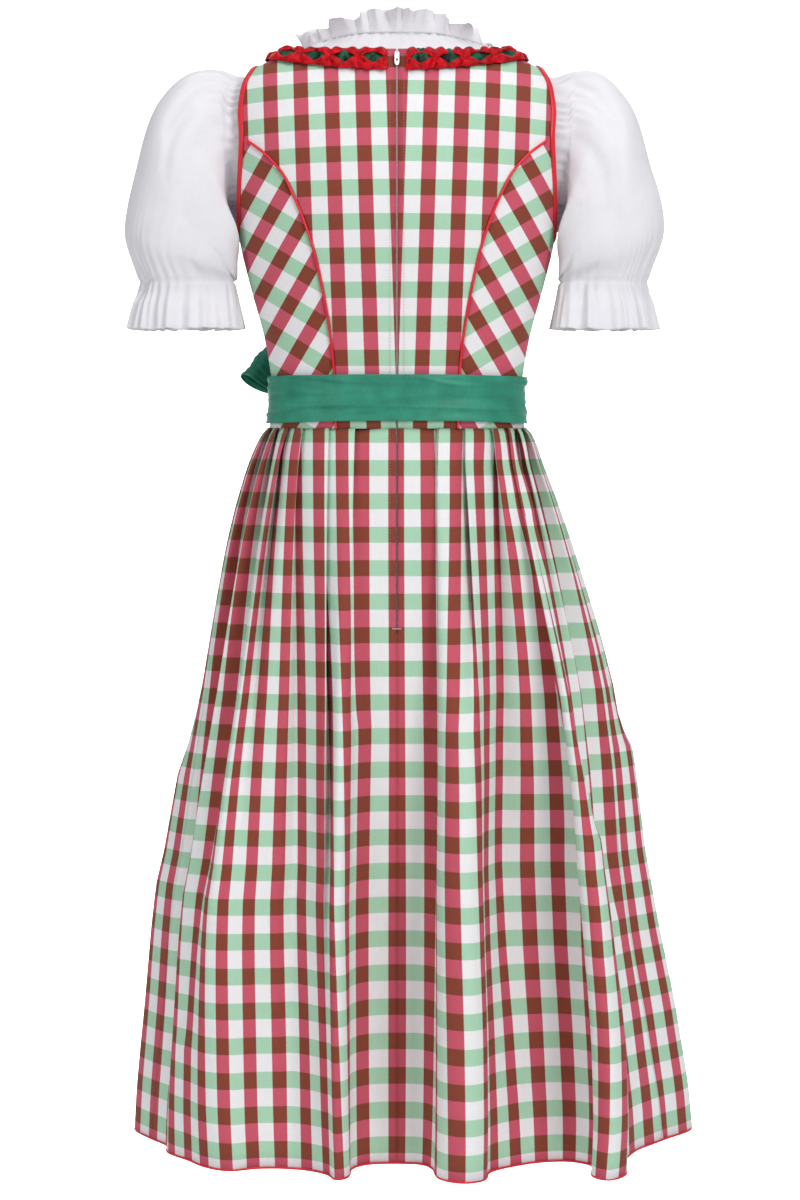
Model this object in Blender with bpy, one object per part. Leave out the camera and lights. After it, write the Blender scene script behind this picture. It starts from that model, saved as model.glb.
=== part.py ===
"""A calf-length dirndl with its puff-sleeved blouse and apron, filled out as if worn.

Metres, +Z up. The origin is between the shoulders, level with the tops of the straps.
The back of the dress faces +Y and the wearer's left is +X.
"""

import math

import bmesh
import bpy
import numpy as np

# ---- driving dimensions ---------------------------------------------------------------
GAP = 0.0003                    # between two pieces that are sewn or that touch
CLOTH = 0.001                   # thickness of the cotton and of the ribbon
BLOUSE_INSET = 0.0042           # outer face of the blouse, inside the outer face of the bodice
WAIST_Z = -0.366                # seam between bodice and skirt
HEM_Z = -1.0655
NECK_BACK_Z = 0.006
NECK_SHOULDER = (0.104, 0.010)  # across, height: inner end of the shoulder seam
SHOULDER_TIP = (0.142, -0.009)  # outer end of the shoulder seam
NECK_FRONT_Z = -0.118
SIDE_ANGLE = math.radians(90)
ROUNDNESS = 0.92                # 1 is an ellipse, less is squarer
PIPING_RADIUS = 0.0013
BINDING_WIDTH = 0.0060
SASH_TOP_Z, SASH_BOTTOM_Z = -0.3155, -0.3580
SASH_THICK = 0.0012
ZIP_END_Z = -0.566
ZIP_SLIT = 0.0016

# Rings of the filled-out bodice: height, half width, depth to the back, depth to the front
BODY_RINGS = np.array([
    (0.030, 0.068, 0.041, 0.036),
    (0.022, 0.080, 0.045, 0.040),
    (0.014, 0.095, 0.050, 0.045),
    (0.010, 0.104, 0.053, 0.048),
    (0.006, 0.1125, 0.057, 0.051),
    (0.000, 0.1240, 0.063, 0.055),
    (-0.009, 0.1420, 0.071, 0.061),
    (-0.020, 0.1575, 0.079, 0.067),
    (-0.035, 0.1680, 0.087, 0.074),
    (-0.060, 0.1730, 0.097, 0.084),
    (-0.110, 0.1670, 0.109, 0.104),
    (-0.150, 0.1610, 0.111, 0.117),
    (-0.185, 0.1560, 0.108, 0.120),
    (-0.220, 0.1475, 0.103, 0.112),
    (-0.280, 0.1315, 0.092, 0.097),
    (-0.305, 0.1270, 0.088, 0.094),
    (-0.336, 0.1235, 0.084, 0.090),
    (-0.366, 0.1275, 0.087, 0.093),
])
BUST = dict(height=-0.155, across=0.072, rise=0.011, wide=0.046, tall=0.055)

# Seams and edges on the bodice: distance across from the centre, height
BACK_PRINCESS = np.array([
    (0.0595, WAIST_Z), (0.0600, -0.330), (0.0635, -0.285), (0.0720, -0.232),
    (0.0835, -0.183), (0.0990, -0.142), (0.1110, -0.118), (0.1240, -0.102), (0.1540, -0.078),
])
FRONT_PRINCESS = np.array([
    (0.0480, WAIST_Z), (0.0500, -0.320), (0.0610, -0.250), (0.0700, -0.190),
    (0.0800, -0.155), (0.1020, -0.115), (0.1505, -0.085),
])
ARMHOLE_BACK = np.array([
    (0.1420, -0.009), (0.1490, -0.021), (0.1555, -0.045), (0.1540, -0.078),
    (0.1560, -0.120), (0.1568, -0.150), (0.1565, -0.176),
])
ARMHOLE_FRONT = np.array([
    (0.1420, -0.009), (0.1470, -0.024), (0.1500, -0.050), (0.1505, -0.085),
    (0.1530, -0.125), (0.1555, -0.155), (0.1565, -0.176),
])
FRONT_NECKLINE = np.array([
    (0.0000, -0.118), (0.0350, -0.104), (0.0620, -0.082), (0.0800, -0.046),
    (0.0920, -0.012), (0.1040, 0.010),
])
UNDERARM_Z = -0.180


# ---- small helpers --------------------------------------------------------------------
def smooth(xs, ys, at):
    """Value at each place of a smooth curve through (xs, ys), xs rising."""
    xs, ys, at = np.asarray(xs, float), np.asarray(ys, float), np.asarray(at, float)
    slopes = np.gradient(ys, xs)
    at = np.clip(at, xs[0], xs[-1])
    i = np.clip(np.searchsorted(xs, at, side="right") - 1, 0, len(xs) - 2)
    step = xs[i + 1] - xs[i]
    f = (at - xs[i]) / step
    rise = ys[i + 1] - ys[i]
    bend_a = slopes[i] * step - rise
    bend_b = rise - slopes[i + 1] * step
    return ys[i] + f * rise + f * (1 - f) * ((1 - f) * bend_a + f * bend_b)


def unit(v):
    return v / np.linalg.norm(v)


def resample(points, count):
    """The same open line with this many points, evenly apart."""
    points = np.asarray(points, float)
    along = np.concatenate([[0], np.cumsum(np.linalg.norm(np.diff(points, axis=0), axis=1))])
    return np.stack([np.interp(np.linspace(0, along[-1], count), along, c) for c in points.T], 1)


def smooth_line(points, count):
    """An even, smooth line through a few points."""
    points = np.asarray(points, float)
    along = np.concatenate([[0], np.cumsum(np.linalg.norm(np.diff(points, axis=0), axis=1))])
    fine = np.linspace(0, along[-1], 12 * len(points))
    return resample(np.stack([smooth(along, c, fine) for c in points.T], 1), count)


def colour_material(name, rgb, rough=0.8, metal=0.0):
    material = bpy.data.materials.new(name)
    material.use_nodes = True
    shader = material.node_tree.nodes["Principled BSDF"]
    shader.inputs["Base Color"].default_value = (*rgb, 1)
    shader.inputs["Roughness"].default_value = rough
    shader.inputs["Metallic"].default_value = metal
    return material


def add_mesh(name, points, faces, material):
    mesh = bpy.data.meshes.new(name)
    mesh.from_pydata([tuple(p) for p in points], [], [tuple(f) for f in faces])
    solid = bmesh.new()
    solid.from_mesh(mesh)
    bmesh.ops.recalc_face_normals(solid, faces=solid.faces)
    solid.to_mesh(mesh)
    solid.free()
    mesh.shade_smooth()
    mesh.materials.append(material)
    piece = bpy.data.objects.new(name, mesh)
    bpy.context.scene.collection.objects.link(piece)
    return piece


def add_wall(name, outer, inner, material, closed=False, full=False):
    """A cloth wall between two grids of points, [row, column, xyz], closed round or open.

    A full wall splits each of its four-sided faces along the diagonal that stands further out.
    """
    rows, cols, _ = outer.shape
    points = np.concatenate([outer.reshape(-1, 3), inner.reshape(-1, 3)])
    half = rows * cols
    faces = []
    for r in range(rows - 1):
        for c in range(cols if closed else cols - 1):
            n = (c + 1) % cols
            a, b, d, e = r * cols + c, r * cols + n, (r + 1) * cols + n, (r + 1) * cols + c
            bulge = points[b] + points[e] - points[a] - points[d]
            if full and np.dot(bulge, points[a] - points[half + a]) > 0:
                a, b, d, e = b, d, e, a
            faces += [(a, b, d), (a, d, e), (half + a, half + d, half + b), (half + a, half + e, half + d)]
    for r in (0, rows - 1):
        for c in range(cols if closed else cols - 1):
            a, b = r * cols + c, r * cols + (c + 1) % cols
            faces += [(a, b, half + b), (a, half + b, half + a)]
    if not closed:
        for c in (0, cols - 1):
            for r in range(rows - 1):
                a, b = r * cols + c, (r + 1) * cols + c
                faces += [(a, b, half + b), (a, half + b, half + a)]
    return add_mesh(name, points, faces, material)


def add_tube(name, rings, material, closed=False):
    """A solid through rings of points, [ring, point, xyz], its ends capped or joined."""
    count, sides, _ = rings.shape
    faces = []
    for r in range(count if closed else count - 1):
        n = (r + 1) % count
        for s in range(sides):
            t = (s + 1) % sides
            a, b, c, d = r * sides + s, r * sides + t, n * sides + t, n * sides + s
            faces += [(a, b, c), (a, c, d)]
    if not closed:
        faces.append(tuple(range(sides)))
        faces.append(tuple((count - 1) * sides + s for s in range(sides)))
    return add_mesh(name, rings.reshape(-1, 3), faces, material)


# ---- the filled-out body ----------------------------------------------------------------
def body_point(angle, z, inset=0.0):
    """A point of the bodice's outer face, angle from the centre back towards the wearer's left."""
    heights = BODY_RINGS[::-1, 0]
    wide = smooth(heights, BODY_RINGS[::-1, 1], z)
    back = smooth(heights, BODY_RINGS[::-1, 2], z)
    front = smooth(heights, BODY_RINGS[::-1, 3], z)
    sin, cos = math.sin(angle), math.cos(angle)
    x = wide * math.copysign(abs(sin) ** ROUNDNESS, sin)
    y = (back if cos > 0 else front) * math.copysign(abs(cos) ** ROUNDNESS, cos)
    if cos < 0:
        off = ((abs(x) - BUST["across"]) / BUST["wide"]) ** 2 + ((z - BUST["height"]) / BUST["tall"]) ** 2
        y -= BUST["rise"] * math.exp(-off) * min(1, -cos * 2.5)
    point = np.array([x, y, z])
    return point - inset * body_normal(angle, z) if inset else point


def body_normal(angle, z):
    step = 1e-3
    across = body_point(angle + step, z) - body_point(angle - step, z)
    high = min(z + step, BODY_RINGS[0, 0])
    up = body_point(angle, high) - body_point(angle, high - 2 * step)
    return unit(np.cross(up, across))


def body_angle(across, z, front=False):
    """The angle at which the body, at this height, is this far across."""
    wide = smooth(BODY_RINGS[::-1, 0], BODY_RINGS[::-1, 1], z)
    angle = math.asin(min(1.0, abs(across) / wide) ** (1 / ROUNDNESS))
    angle = math.pi - angle if front else angle
    return math.copysign(angle, across)


def on_body(line, front=False):
    """Turns a line of (across, height) into one of (angle, height)."""
    return np.array([(body_angle(x, z, front), z) for x, z in line])


def patch(bottom, top, left, right, steady=0):
    """A grid of (angle, height) between four edges; its first rows stay straight across."""
    rows, u = len(left), np.linspace(0, 1, len(bottom))[:, None]
    straight = [left[r] * (1 - u) + right[r] * u for r in range(rows)]
    grid = []
    for r in range(rows):
        low = max(0.0, 1 - r / 4)
        high = max(0.0, (r - steady) / (rows - 1 - steady)) ** 1.5
        grid.append(straight[r] + low * (bottom - straight[0]) + high * (top - straight[-1]))
    return np.array(grid)


def body_wall(name, grid, material, inset=lambda angle, z: 0.0):
    outer = np.array([[body_point(a, z, inset(a, z)) for a, z in row] for row in grid])
    inner = np.array([[body_point(a, z, inset(a, z) + CLOTH) for a, z in row] for row in grid])
    add_wall(name, outer, inner, material, full=True)


def eased(line, away, distance):
    """The line (angle, height) moved sideways in angle by a real distance."""
    return np.array([(a + away * distance / np.linalg.norm(body_point(a, z)[:2]), z) for a, z in line])


def mirrored(line):
    return np.array([(-a, z) for a, z in line])


# ---- bodice --------------------------------------------------------------------------
SEAM_ROWS = 11
STRAP_ROWS = 5
LOWER_ROWS = 6

back_seam = on_body(smooth_line(BACK_PRINCESS, SEAM_ROWS))
front_seam = on_body(smooth_line(FRONT_PRINCESS, SEAM_ROWS), front=True)
armhole_back = on_body(smooth_line(ARMHOLE_BACK, 13))
armhole_front = on_body(smooth_line(ARMHOLE_FRONT, 13), front=True)


def split_at(line, z):
    """Upper and lower parts of an armhole line at a height."""
    upper = [p for p in line if p[1] > z + 1e-4]
    lower = [p for p in line if p[1] < z - 1e-4]
    return upper, lower


def armhole_parts(line, meet):
    upper, lower = split_at(line, meet[1])
    joint = np.array(meet)
    top = resample(np.array(upper + [joint]), STRAP_ROWS)
    bottom = resample(np.array([joint] + lower), LOWER_ROWS)
    return top, bottom


back_top, back_low = armhole_parts(armhole_back, back_seam[-1])
front_top, front_low = armhole_parts(armhole_front, front_seam[-1])
side_seam = np.array([(SIDE_ANGLE, z) for z in np.linspace(WAIST_Z, UNDERARM_Z, SEAM_ROWS)])


def build_bodice(cotton):
    half_slit = ZIP_SLIT / 2
    columns = 8
    right_edge = np.concatenate([eased(back_seam, -1, GAP / 2), back_top[::-1][1:]])
    rows = len(right_edge)
    heights = np.linspace(WAIST_Z, NECK_BACK_Z, rows)
    centre = np.array([(body_angle(half_slit, z), z) for z in heights])
    waist = np.array([(a, WAIST_Z) for a in np.linspace(centre[0, 0], right_edge[0, 0], columns + 1)])
    neck_angle = body_angle(NECK_SHOULDER[0] - 1e-4, NECK_SHOULDER[1])
    neck = [(a, NECK_BACK_Z + (NECK_SHOULDER[1] - NECK_BACK_Z) * (a / neck_angle) ** 2)
            for a in np.linspace(centre[-1, 0], neck_angle, columns - 2)]
    shoulder = [(SIDE_ANGLE - 0.001, z) for z in np.linspace(NECK_SHOULDER[1], SHOULDER_TIP[1], 4)[1:]]
    top = np.array(neck + shoulder)
    right_edge[-1] = top[-1]
    back = patch(waist, top, centre, right_edge, SEAM_ROWS - 2)

    side_left = eased(back_seam, 1, GAP / 2)
    side_right = eased(side_seam, -1, GAP / 2)
    side_top = resample(back_low, 7)
    side_top[0], side_top[-1] = side_left[-1], side_right[-1]
    side_bottom = np.array([(a, WAIST_Z) for a in np.linspace(side_left[0, 0], side_right[0, 0], 7)])
    side_back = patch(side_bottom, side_top, side_left, side_right)

    front_left = eased(side_seam, 1, GAP / 2)
    front_right = eased(front_seam, -1, GAP / 2)
    front_side_top = resample(front_low[::-1], 8)
    front_side_top[0], front_side_top[-1] = front_left[-1], front_right[-1]
    front_bottom = np.array([(a, WAIST_Z) for a in np.linspace(front_left[0, 0], front_right[0, 0], 8)])
    side_front = patch(front_bottom, front_side_top, front_left, front_right)

    centre_left = np.concatenate([eased(front_seam, 1, GAP / 2), front_top[::-1][1:]])
    centre_left[-1] = (SIDE_ANGLE + 0.001, SHOULDER_TIP[1])
    half_front_neck = on_body(smooth_line(FRONT_NECKLINE, 7)[::-1], front=True)
    half_front_neck[0] = (SIDE_ANGLE + 0.001, NECK_SHOULDER[1])
    slope = np.linspace(SHOULDER_TIP[1], NECK_SHOULDER[1], 4)[:-1]
    front_shoulder = [(SIDE_ANGLE + 0.001, z) for z in slope]
    half_top = np.concatenate([front_shoulder, half_front_neck])
    half_top[-1, 0] = math.pi
    half_bottom = np.array([(a, WAIST_Z) for a in np.linspace(centre_left[0, 0], math.pi, len(half_top))])
    middle_heights = np.interp(np.arange(len(centre_left)), (0, SEAM_ROWS - 1, len(centre_left) - 1),
                               (WAIST_Z, NECK_FRONT_Z - 0.014, NECK_FRONT_Z))
    middle = np.array([(math.pi, z) for z in middle_heights])
    half = patch(half_bottom, half_top, centre_left, middle, SEAM_ROWS - 1)
    other = half[:, ::-1][:, 1:].copy()
    other[:, :, 0] = 2 * math.pi - other[:, :, 0]
    front = np.concatenate([half, other], axis=1)

    body_wall("bodice_back_left", back, cotton)
    body_wall("bodice_back_right", back * (-1, 1), cotton)
    body_wall("bodice_side_back_left", side_back, cotton)
    body_wall("bodice_side_back_right", side_back * (-1, 1), cotton)
    body_wall("bodice_side_front_left", side_front, cotton)
    body_wall("bodice_side_front_right", side_front * (-1, 1), cotton)
    body_wall("bodice_front_centre", front, cotton)
    return back, side_back, side_front, front


def seam_frame(line, i):
    """Point, outward normal and sideways direction of a line on the body."""
    a, z = line[i]
    before, after = line[max(i - 1, 0)], line[min(i + 1, len(line) - 1)]
    along = unit(body_point(*after) - body_point(*before))
    out = body_normal(a, z)
    side = unit(np.cross(along, out))
    return body_point(a, z), out, side


def build_piping(satin):
    """A round cord in each princess seam."""
    for side in (1, -1):
        for place, seam in (("back", back_seam), ("front", front_seam)):
            line = seam * (side, 1)
            rings = []
            for i in range(len(line)):
                point, out, across = seam_frame(line, i)
                centre = point + out * (PIPING_RADIUS + 2 * GAP)
                if i == len(line) - 1:
                    centre = centre - unit(body_point(*line[-1]) - body_point(*line[-2])) * 0.008
                rings.append([centre + PIPING_RADIUS * (math.cos(k) * out + math.sin(k) * across)
                              for k in np.arange(6) * math.pi / 3])
            hand = "left" if side > 0 else "right"
            add_tube(f"piping_{place}_{hand}", np.array(rings), satin)


def armhole_edge(grids):
    """Points round the left armhole's edge, each with one a binding's width into its panel."""
    back, side_back, side_front, front = grids
    ends = [(row[-1], row[-2]) for row in back[SEAM_ROWS - 1:][::-1]]
    ends += list(zip(side_back[-1][1:], side_back[-2][1:]))
    ends += list(zip(side_front[-1][1:], side_front[-2][1:]))
    ends += [(row[0], row[1]) for row in front[SEAM_ROWS:]]
    edge, inside, out = [], [], []
    for place, further in ends:
        point, other = body_point(*place), body_point(*further)
        edge.append(point)
        inside.append(point + unit(other - point) * BINDING_WIDTH)
        out.append(body_normal(*place))
    return np.array(edge), np.array(inside), np.array(out)


def build_bindings(satin, grids):
    """A folded ribbon round each armhole: flat on the outside, turned over the edge."""
    thick, lift = 0.0010, 0.0016
    edge, inside, out = armhole_edge(grids)
    into_hole = (edge - inside) / BINDING_WIDTH
    rings = np.stack([
        inside + out * lift,
        inside + out * (lift + thick),
        edge + out * (lift + thick) + into_hole * (GAP + thick),
        edge - out * (CLOTH + GAP) + into_hole * (GAP + thick),
        edge - out * (CLOTH + GAP) + into_hole * GAP,
        edge + out * lift + into_hole * GAP,
    ], axis=1)
    for side, hand in ((1, "left"), (-1, "right")):
        add_tube(f"binding_{hand}", rings * (side, 1, 1), satin, closed=True)


# ---- skirt ---------------------------------------------------------------------------
# One row for each pleat of the back, from the centre outwards: how far round the waist its
# fold lies, and how far along the cloth at the waist and at the hem.
PLEATS_LEFT = np.array([
    (0.0400, 0.046, 0.070), (0.0655, 0.108, 0.121), (0.0940, 0.173, 0.185),
    (0.1115, 0.240, 0.272), (0.1275, 0.300, 0.341), (0.1440, 0.360, 0.390),
])
PLEATS_RIGHT = np.array([
    (0.0380, 0.069, 0.055), (0.0655, 0.133, 0.130), (0.0945, 0.203, 0.215),
    (0.1145, 0.300, 0.322), (0.1300, 0.400, 0.440), (0.1450, 0.470, 0.500),
])
# The folds of the hem at the back, from the centre outwards: how far along the cloth,
# how far across and how far back.
HEM_LEFT = np.array([
    (0.0000, 0.0000, 0.168), (0.0302, 0.0280, 0.172), (0.0560, 0.0440, 0.194),
    (0.0720, 0.0450, 0.220), (0.0906, 0.0560, 0.234), (0.1208, 0.0660, 0.212),
    (0.1510, 0.0845, 0.196), (0.1812, 0.1100, 0.188), (0.2114, 0.1355, 0.189),
    (0.2416, 0.1600, 0.199), (0.2718, 0.1840, 0.182), (0.3022, 0.2000, 0.156),
    (0.3410, 0.2225, 0.122), (0.3780, 0.2275, 0.084), (0.3926, 0.2410, 0.060),
    (0.4250, 0.2630, 0.000),
])
HEM_RIGHT = np.array([
    (0.0000, 0.0000, 0.168), (0.0302, 0.0260, 0.174), (0.0500, 0.0350, 0.196),
    (0.0640, 0.0375, 0.224), (0.0906, 0.0640, 0.246), (0.1120, 0.0835, 0.234),
    (0.1380, 0.0860, 0.208), (0.1812, 0.1135, 0.178), (0.2114, 0.1385, 0.163),
    (0.2416, 0.1660, 0.160), (0.2640, 0.1830, 0.172), (0.3250, 0.1860, 0.224),
    (0.3470, 0.1990, 0.236), (0.3690, 0.2140, 0.220), (0.4370, 0.2200, 0.150),
    (0.4530, 0.2300, 0.118), (0.4832, 0.2480, 0.086), (0.5134, 0.2680, 0.052),
    (0.5436, 0.2910, 0.014), (0.5500, 0.2960, 0.000),
])
HALF_WAIST = 0.3480
SIDE_WAIST = 0.1740
FRONT_PLEATS = 6
HEM_CENTRE_X = -0.0165
HEM_HALF_WIDTH = 0.2795
HEM_BACK, HEM_FRONT = 0.200, 0.205
FRONT_FOLDS = 7                # waves of the hem across the front
FRONT_FOLD_DEPTH = 0.016
FLARE = 0.68                   # how soon the skirt widens below the waist
FOLD_GROWTH = 1.35             # how late the big folds come
PLEAT_DEPTH = 0.0085           # of the pleats where they are sewn in
FOLD_CLOTH = 0.078             # most cloth that one pleat takes up at the waist
DEEPEST_LAP = 0.016            # how far a pleat may reach under the next
DEEPEST_PLEAT = 0.017
# the sides stand away a little more below the hips: share of the drop, on the left, on the right
SIDE_SWELL = np.array([
    (0.00, 0.000, 0.000), (0.05, 0.003, -0.004), (0.11, 0.005, -0.002), (0.17, 0.006, 0.001),
    (0.31, 0.006, 0.009), (0.37, 0.006, 0.011), (0.48, 0.008, 0.009), (0.60, 0.010, 0.003),
    (0.65, 0.013, 0.003), (0.71, 0.012, 0.003), (0.82, 0.008, 0.006), (0.94, 0.005, 0.006),
    (1.00, 0.002, 0.003),
])
SKIRT_LEVELS = (0.0, 0.035, 0.10, 0.20, 0.35, 0.54, 0.77, 1.0)
WAIST_RING = (0.1300, 0.0880, 0.0940)
APRON_OUT = 0.0075


def ring_angle_table(half_width, back, front):
    """Length round half a ring, from the centre back, against angle."""
    angles = np.linspace(0, math.pi, 400)
    x = half_width * np.sin(angles) ** ROUNDNESS
    cos = np.cos(angles)
    y = np.where(angles < math.pi / 2, back, front) * np.sign(cos) * np.abs(cos) ** ROUNDNESS
    length = np.concatenate([[0], np.cumsum(np.hypot(np.diff(x), np.diff(y)))])
    return length, np.stack([x, y], 1)


waist_length, waist_line = ring_angle_table(*WAIST_RING)


def waist_point(arc):
    """A point of the waist seam, this share of the way round from centre back to centre front."""
    at = np.clip(arc / HALF_WAIST, 0, 1) * waist_length[-1]
    return np.stack([np.interp(at, waist_length, waist_line[:, k]) for k in (0, 1)], -1)


def hem_ring_point(angle, centre):
    """The plain ring under the hem's folds."""
    depth = np.where(np.cos(angle) > 0, HEM_BACK, HEM_FRONT)
    return np.stack([centre + HEM_HALF_WIDTH * np.sin(angle), depth * np.cos(angle)], -1)


def side_swell(v, side):
    """How much further across the plan reaches at this share of the drop, as a factor."""
    reach = (1 - v ** FLARE) * WAIST_RING[0] + v ** FLARE * (HEM_HALF_WIDTH + HEM_CENTRE_X * side)
    return 1 + np.interp(v, SIDE_SWELL[:, 0], SIDE_SWELL[:, 1 if side > 0 else 2]) / reach


class HalfSkirt:
    """One half of the skirt in plan, from the centre back round the side to the centre front."""

    def __init__(self, side, hem, pleats):
        centre = HEM_CENTRE_X * side
        cloth, plan = list(hem[:, 0]), [tuple(p) for p in hem[:, 1:]]
        start = math.atan2(plan[-1][0] - centre, 0.0)
        steps = 4 * FRONT_FOLDS
        for i in range(1, steps + 1):
            angle = start + (math.pi - start) * i / steps
            wave = FRONT_FOLD_DEPTH * (1 - math.cos(math.pi * i / 2)) / 2
            ring = hem_ring_point(angle, centre)
            inward = np.array([ring[0] - centre, ring[1]])
            ring = ring - inward / np.linalg.norm(inward) * wave
            cloth.append(cloth[-1] + math.dist(plan[-1], ring) * 1.03)
            plan.append(tuple(ring))
        plan[-1] = (centre, plan[-1][1])
        self.centre, self.side = centre, side
        self.key_cloth, plan = np.array(cloth), np.array(plan)
        self.fine = np.linspace(0, cloth[-1], 900)
        self.fine_x = smooth(self.key_cloth, plan[:, 0], self.fine)
        self.fine_y = smooth(self.key_cloth, plan[:, 1], self.fine)
        self.cloth_end = cloth[-1]
        self.side_cloth = hem[-1, 0]
        front_arc = np.linspace(SIDE_WAIST + 0.006, HALF_WAIST - 0.026, FRONT_PLEATS)
        front_cloth = np.linspace(self.side_cloth + 0.035, cloth[-1] - 0.045, FRONT_PLEATS)
        self.folds = np.concatenate([[(0, 0, 0)], pleats, np.stack([front_arc, front_cloth, front_cloth], 1),
                                     [(HALF_WAIST, cloth[-1], cloth[-1])]])

    def hull(self, arc, cloth, v):
        """The curve on which the folds' edges lie."""
        hem = np.stack([np.interp(cloth, self.fine, self.fine_x), np.interp(cloth, self.fine, self.fine_y)], -1)
        depth = np.where(hem[..., 1] > 0, HEM_BACK, HEM_FRONT)
        angle = np.arctan2((hem[..., 0] - self.centre) / HEM_HALF_WIDTH, hem[..., 1] / depth)
        plain = hem_ring_point(angle, self.centre)
        share = v ** FLARE
        plan = (1 - share) * waist_point(arc) + share * plain + v ** FOLD_GROWTH * (hem - plain)
        return plan * (side_swell(v, self.side), 1.0)

    def section(self, v, shares):
        """Points and cloth lengths of the mid-line at one height; shares lists, for each pleat,
        how far along it each column lies: 0 at the fold's edge, 1 at the hidden fold, 2 at the next edge."""
        points, lengths = [], []
        for k in range(len(self.folds) - 1):
            a, b = self.folds[k], self.folds[k + 1]
            cloth_a, cloth_b = a[1] + (a[2] - a[1]) * v, b[1] + (b[2] - b[1]) * v
            part = np.linspace(0, 1, 17)
            line = self.hull(a[0] + (b[0] - a[0]) * part, a[2] + (b[2] - a[2]) * part, v)
            run = np.concatenate([[0], np.cumsum(np.linalg.norm(np.diff(line, axis=0), axis=1))])
            base, waist_base = run[-1], np.linalg.norm(waist_point(b[0]) - waist_point(a[0]))
            tangent = unit(line[-1] - line[-3])
            inward = np.array([line[-1][1] - line[0][1], line[0][0] - line[-1][0]])
            inward = unit(inward) * (1 if np.dot(inward, line[8] - (self.centre * v, 0)) < 0 else -1)
            reach, depth = base * 0.6, 0.0
            if k < len(self.folds) - 2:
                folded = max(min(b[1] - a[1], FOLD_CLOTH), waist_base * 1.35)
                spread = max(folded + (b[2] - a[2] - folded) * v, folded)
                slack = math.sqrt(max(spread ** 2 - base ** 2, 0.0))
                waist_slack = math.sqrt(folded ** 2 - waist_base ** 2)
                cosine = min(math.sqrt(1 - (2 * PLEAT_DEPTH / waist_slack) ** 2) * waist_base / base, 0.98)
                reach = min(base / 2 + spread / 2 * cosine, base + DEEPEST_LAP * (1 - v))
                depth = min(slack / 2 * math.sqrt(1 - cosine ** 2), DEEPEST_PLEAT) * (1 - v ** 3)
            face, flank = math.hypot(reach, depth), math.hypot(reach - base, depth)
            hidden = face / (face + flank)
            for share in shares[k]:
                on_face = share <= 1
                step = share if on_face else share - 1
                along = reach * step if on_face else reach + (base - reach) * step
                down = depth * step if on_face else depth * (1 - step)
                taken = hidden * step if on_face else hidden + (1 - hidden) * step
                place = np.stack([np.interp(along, run, line[:, 0]), np.interp(along, run, line[:, 1])])
                points.append(place + tangent * max(along - base, 0.0) + inward * down)
                lengths.append(cloth_a + (cloth_b - cloth_a) * taken)
        return np.array(points), np.array(lengths)


def level_height(v):
    return WAIST_Z - GAP + (HEM_Z - WAIST_Z + GAP) * v


def fold_shares(half):
    """Where the columns lie on each pleat: close pairs at each fold and some between."""
    shares = []
    for k in range(len(half.folds) - 1):
        cloth = half.folds[k + 1][2] - half.folds[k][2]
        between = max(1, round(cloth / 0.038))
        first = [] if k == 0 else [0.12]
        if k == len(half.folds) - 2:
            shares.append(first + list(np.linspace(0.4, 2.0, 4)))
            continue
        face = list(np.linspace(first[0] if first else 0.0, 0.88, between + 2))
        shares.append(face + [1.16, 1.55, 1.80] if between > 1 else face + [1.16, 1.80])
    return shares


def offset_line(points, distance):
    """A plan line moved sideways, mitred."""
    before = np.diff(points, axis=0)
    before /= np.linalg.norm(before, axis=1)[:, None]
    normals = np.stack([-before[:, 1], before[:, 0]], 1)
    moved = points.copy()
    for i in range(len(points)):
        a, b = normals[max(i - 1, 0)], normals[min(i, len(normals) - 1)]
        bisector = unit(a + b) if np.linalg.norm(a + b) > 1e-6 else a
        moved[i] = points[i] + bisector * distance / max(np.dot(bisector, a), 0.62)
    return moved


def build_skirt(cotton):
    halves = {}
    for hand in ("left", "right"):
        half = half_skirt(hand)
        shares = fold_shares(half)
        back_count = sum(len(s) for s in shares[:6]) + 2
        sections = []
        for v in SKIRT_LEVELS:
            plan, _ = half.section(v, shares)
            outer, inner = offset_line(plan, CLOTH / 2), offset_line(plan, -CLOTH / 2)
            outer[0, 0] = inner[0, 0] = (ZIP_SLIT if level_height(v) > ZIP_END_Z else GAP) / 2
            z = level_height(v)
            outer = np.column_stack([outer * (half.side, 1), np.full(len(plan), z)])
            inner = np.column_stack([inner * (half.side, 1), np.full(len(plan), z)])
            sections.append((outer, inner))
        outer = np.array([s[0] for s in sections])[::-1]
        inner = np.array([s[1] for s in sections])[::-1]
        halves[hand] = (outer, inner, back_count)
        add_wall(f"skirt_back_{hand}", outer[:, :back_count], inner[:, :back_count], cotton)
    fronts = []
    for layer in (0, 1):
        left, right = halves["left"][layer].copy(), halves["right"][layer].copy()
        left, right = left[:, halves["left"][2] - 1:], right[:, halves["right"][2] - 1:]
        for grid in (left, right):
            step = grid[:, 1] - grid[:, 0]
            grid[:, 0] += step / np.linalg.norm(step, axis=1)[:, None] * GAP
        right[:, -1] = left[:, -1]
        fronts.append(np.concatenate([left, right[:, ::-1][:, 1:]], axis=1))
    add_wall("skirt_front", fronts[0], fronts[1], cotton)


def half_skirt(hand):
    left = hand == "left"
    if left:
        return HalfSkirt(1, HEM_LEFT, PLEATS_LEFT)
    return HalfSkirt(-1, HEM_RIGHT, PLEATS_RIGHT)


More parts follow.
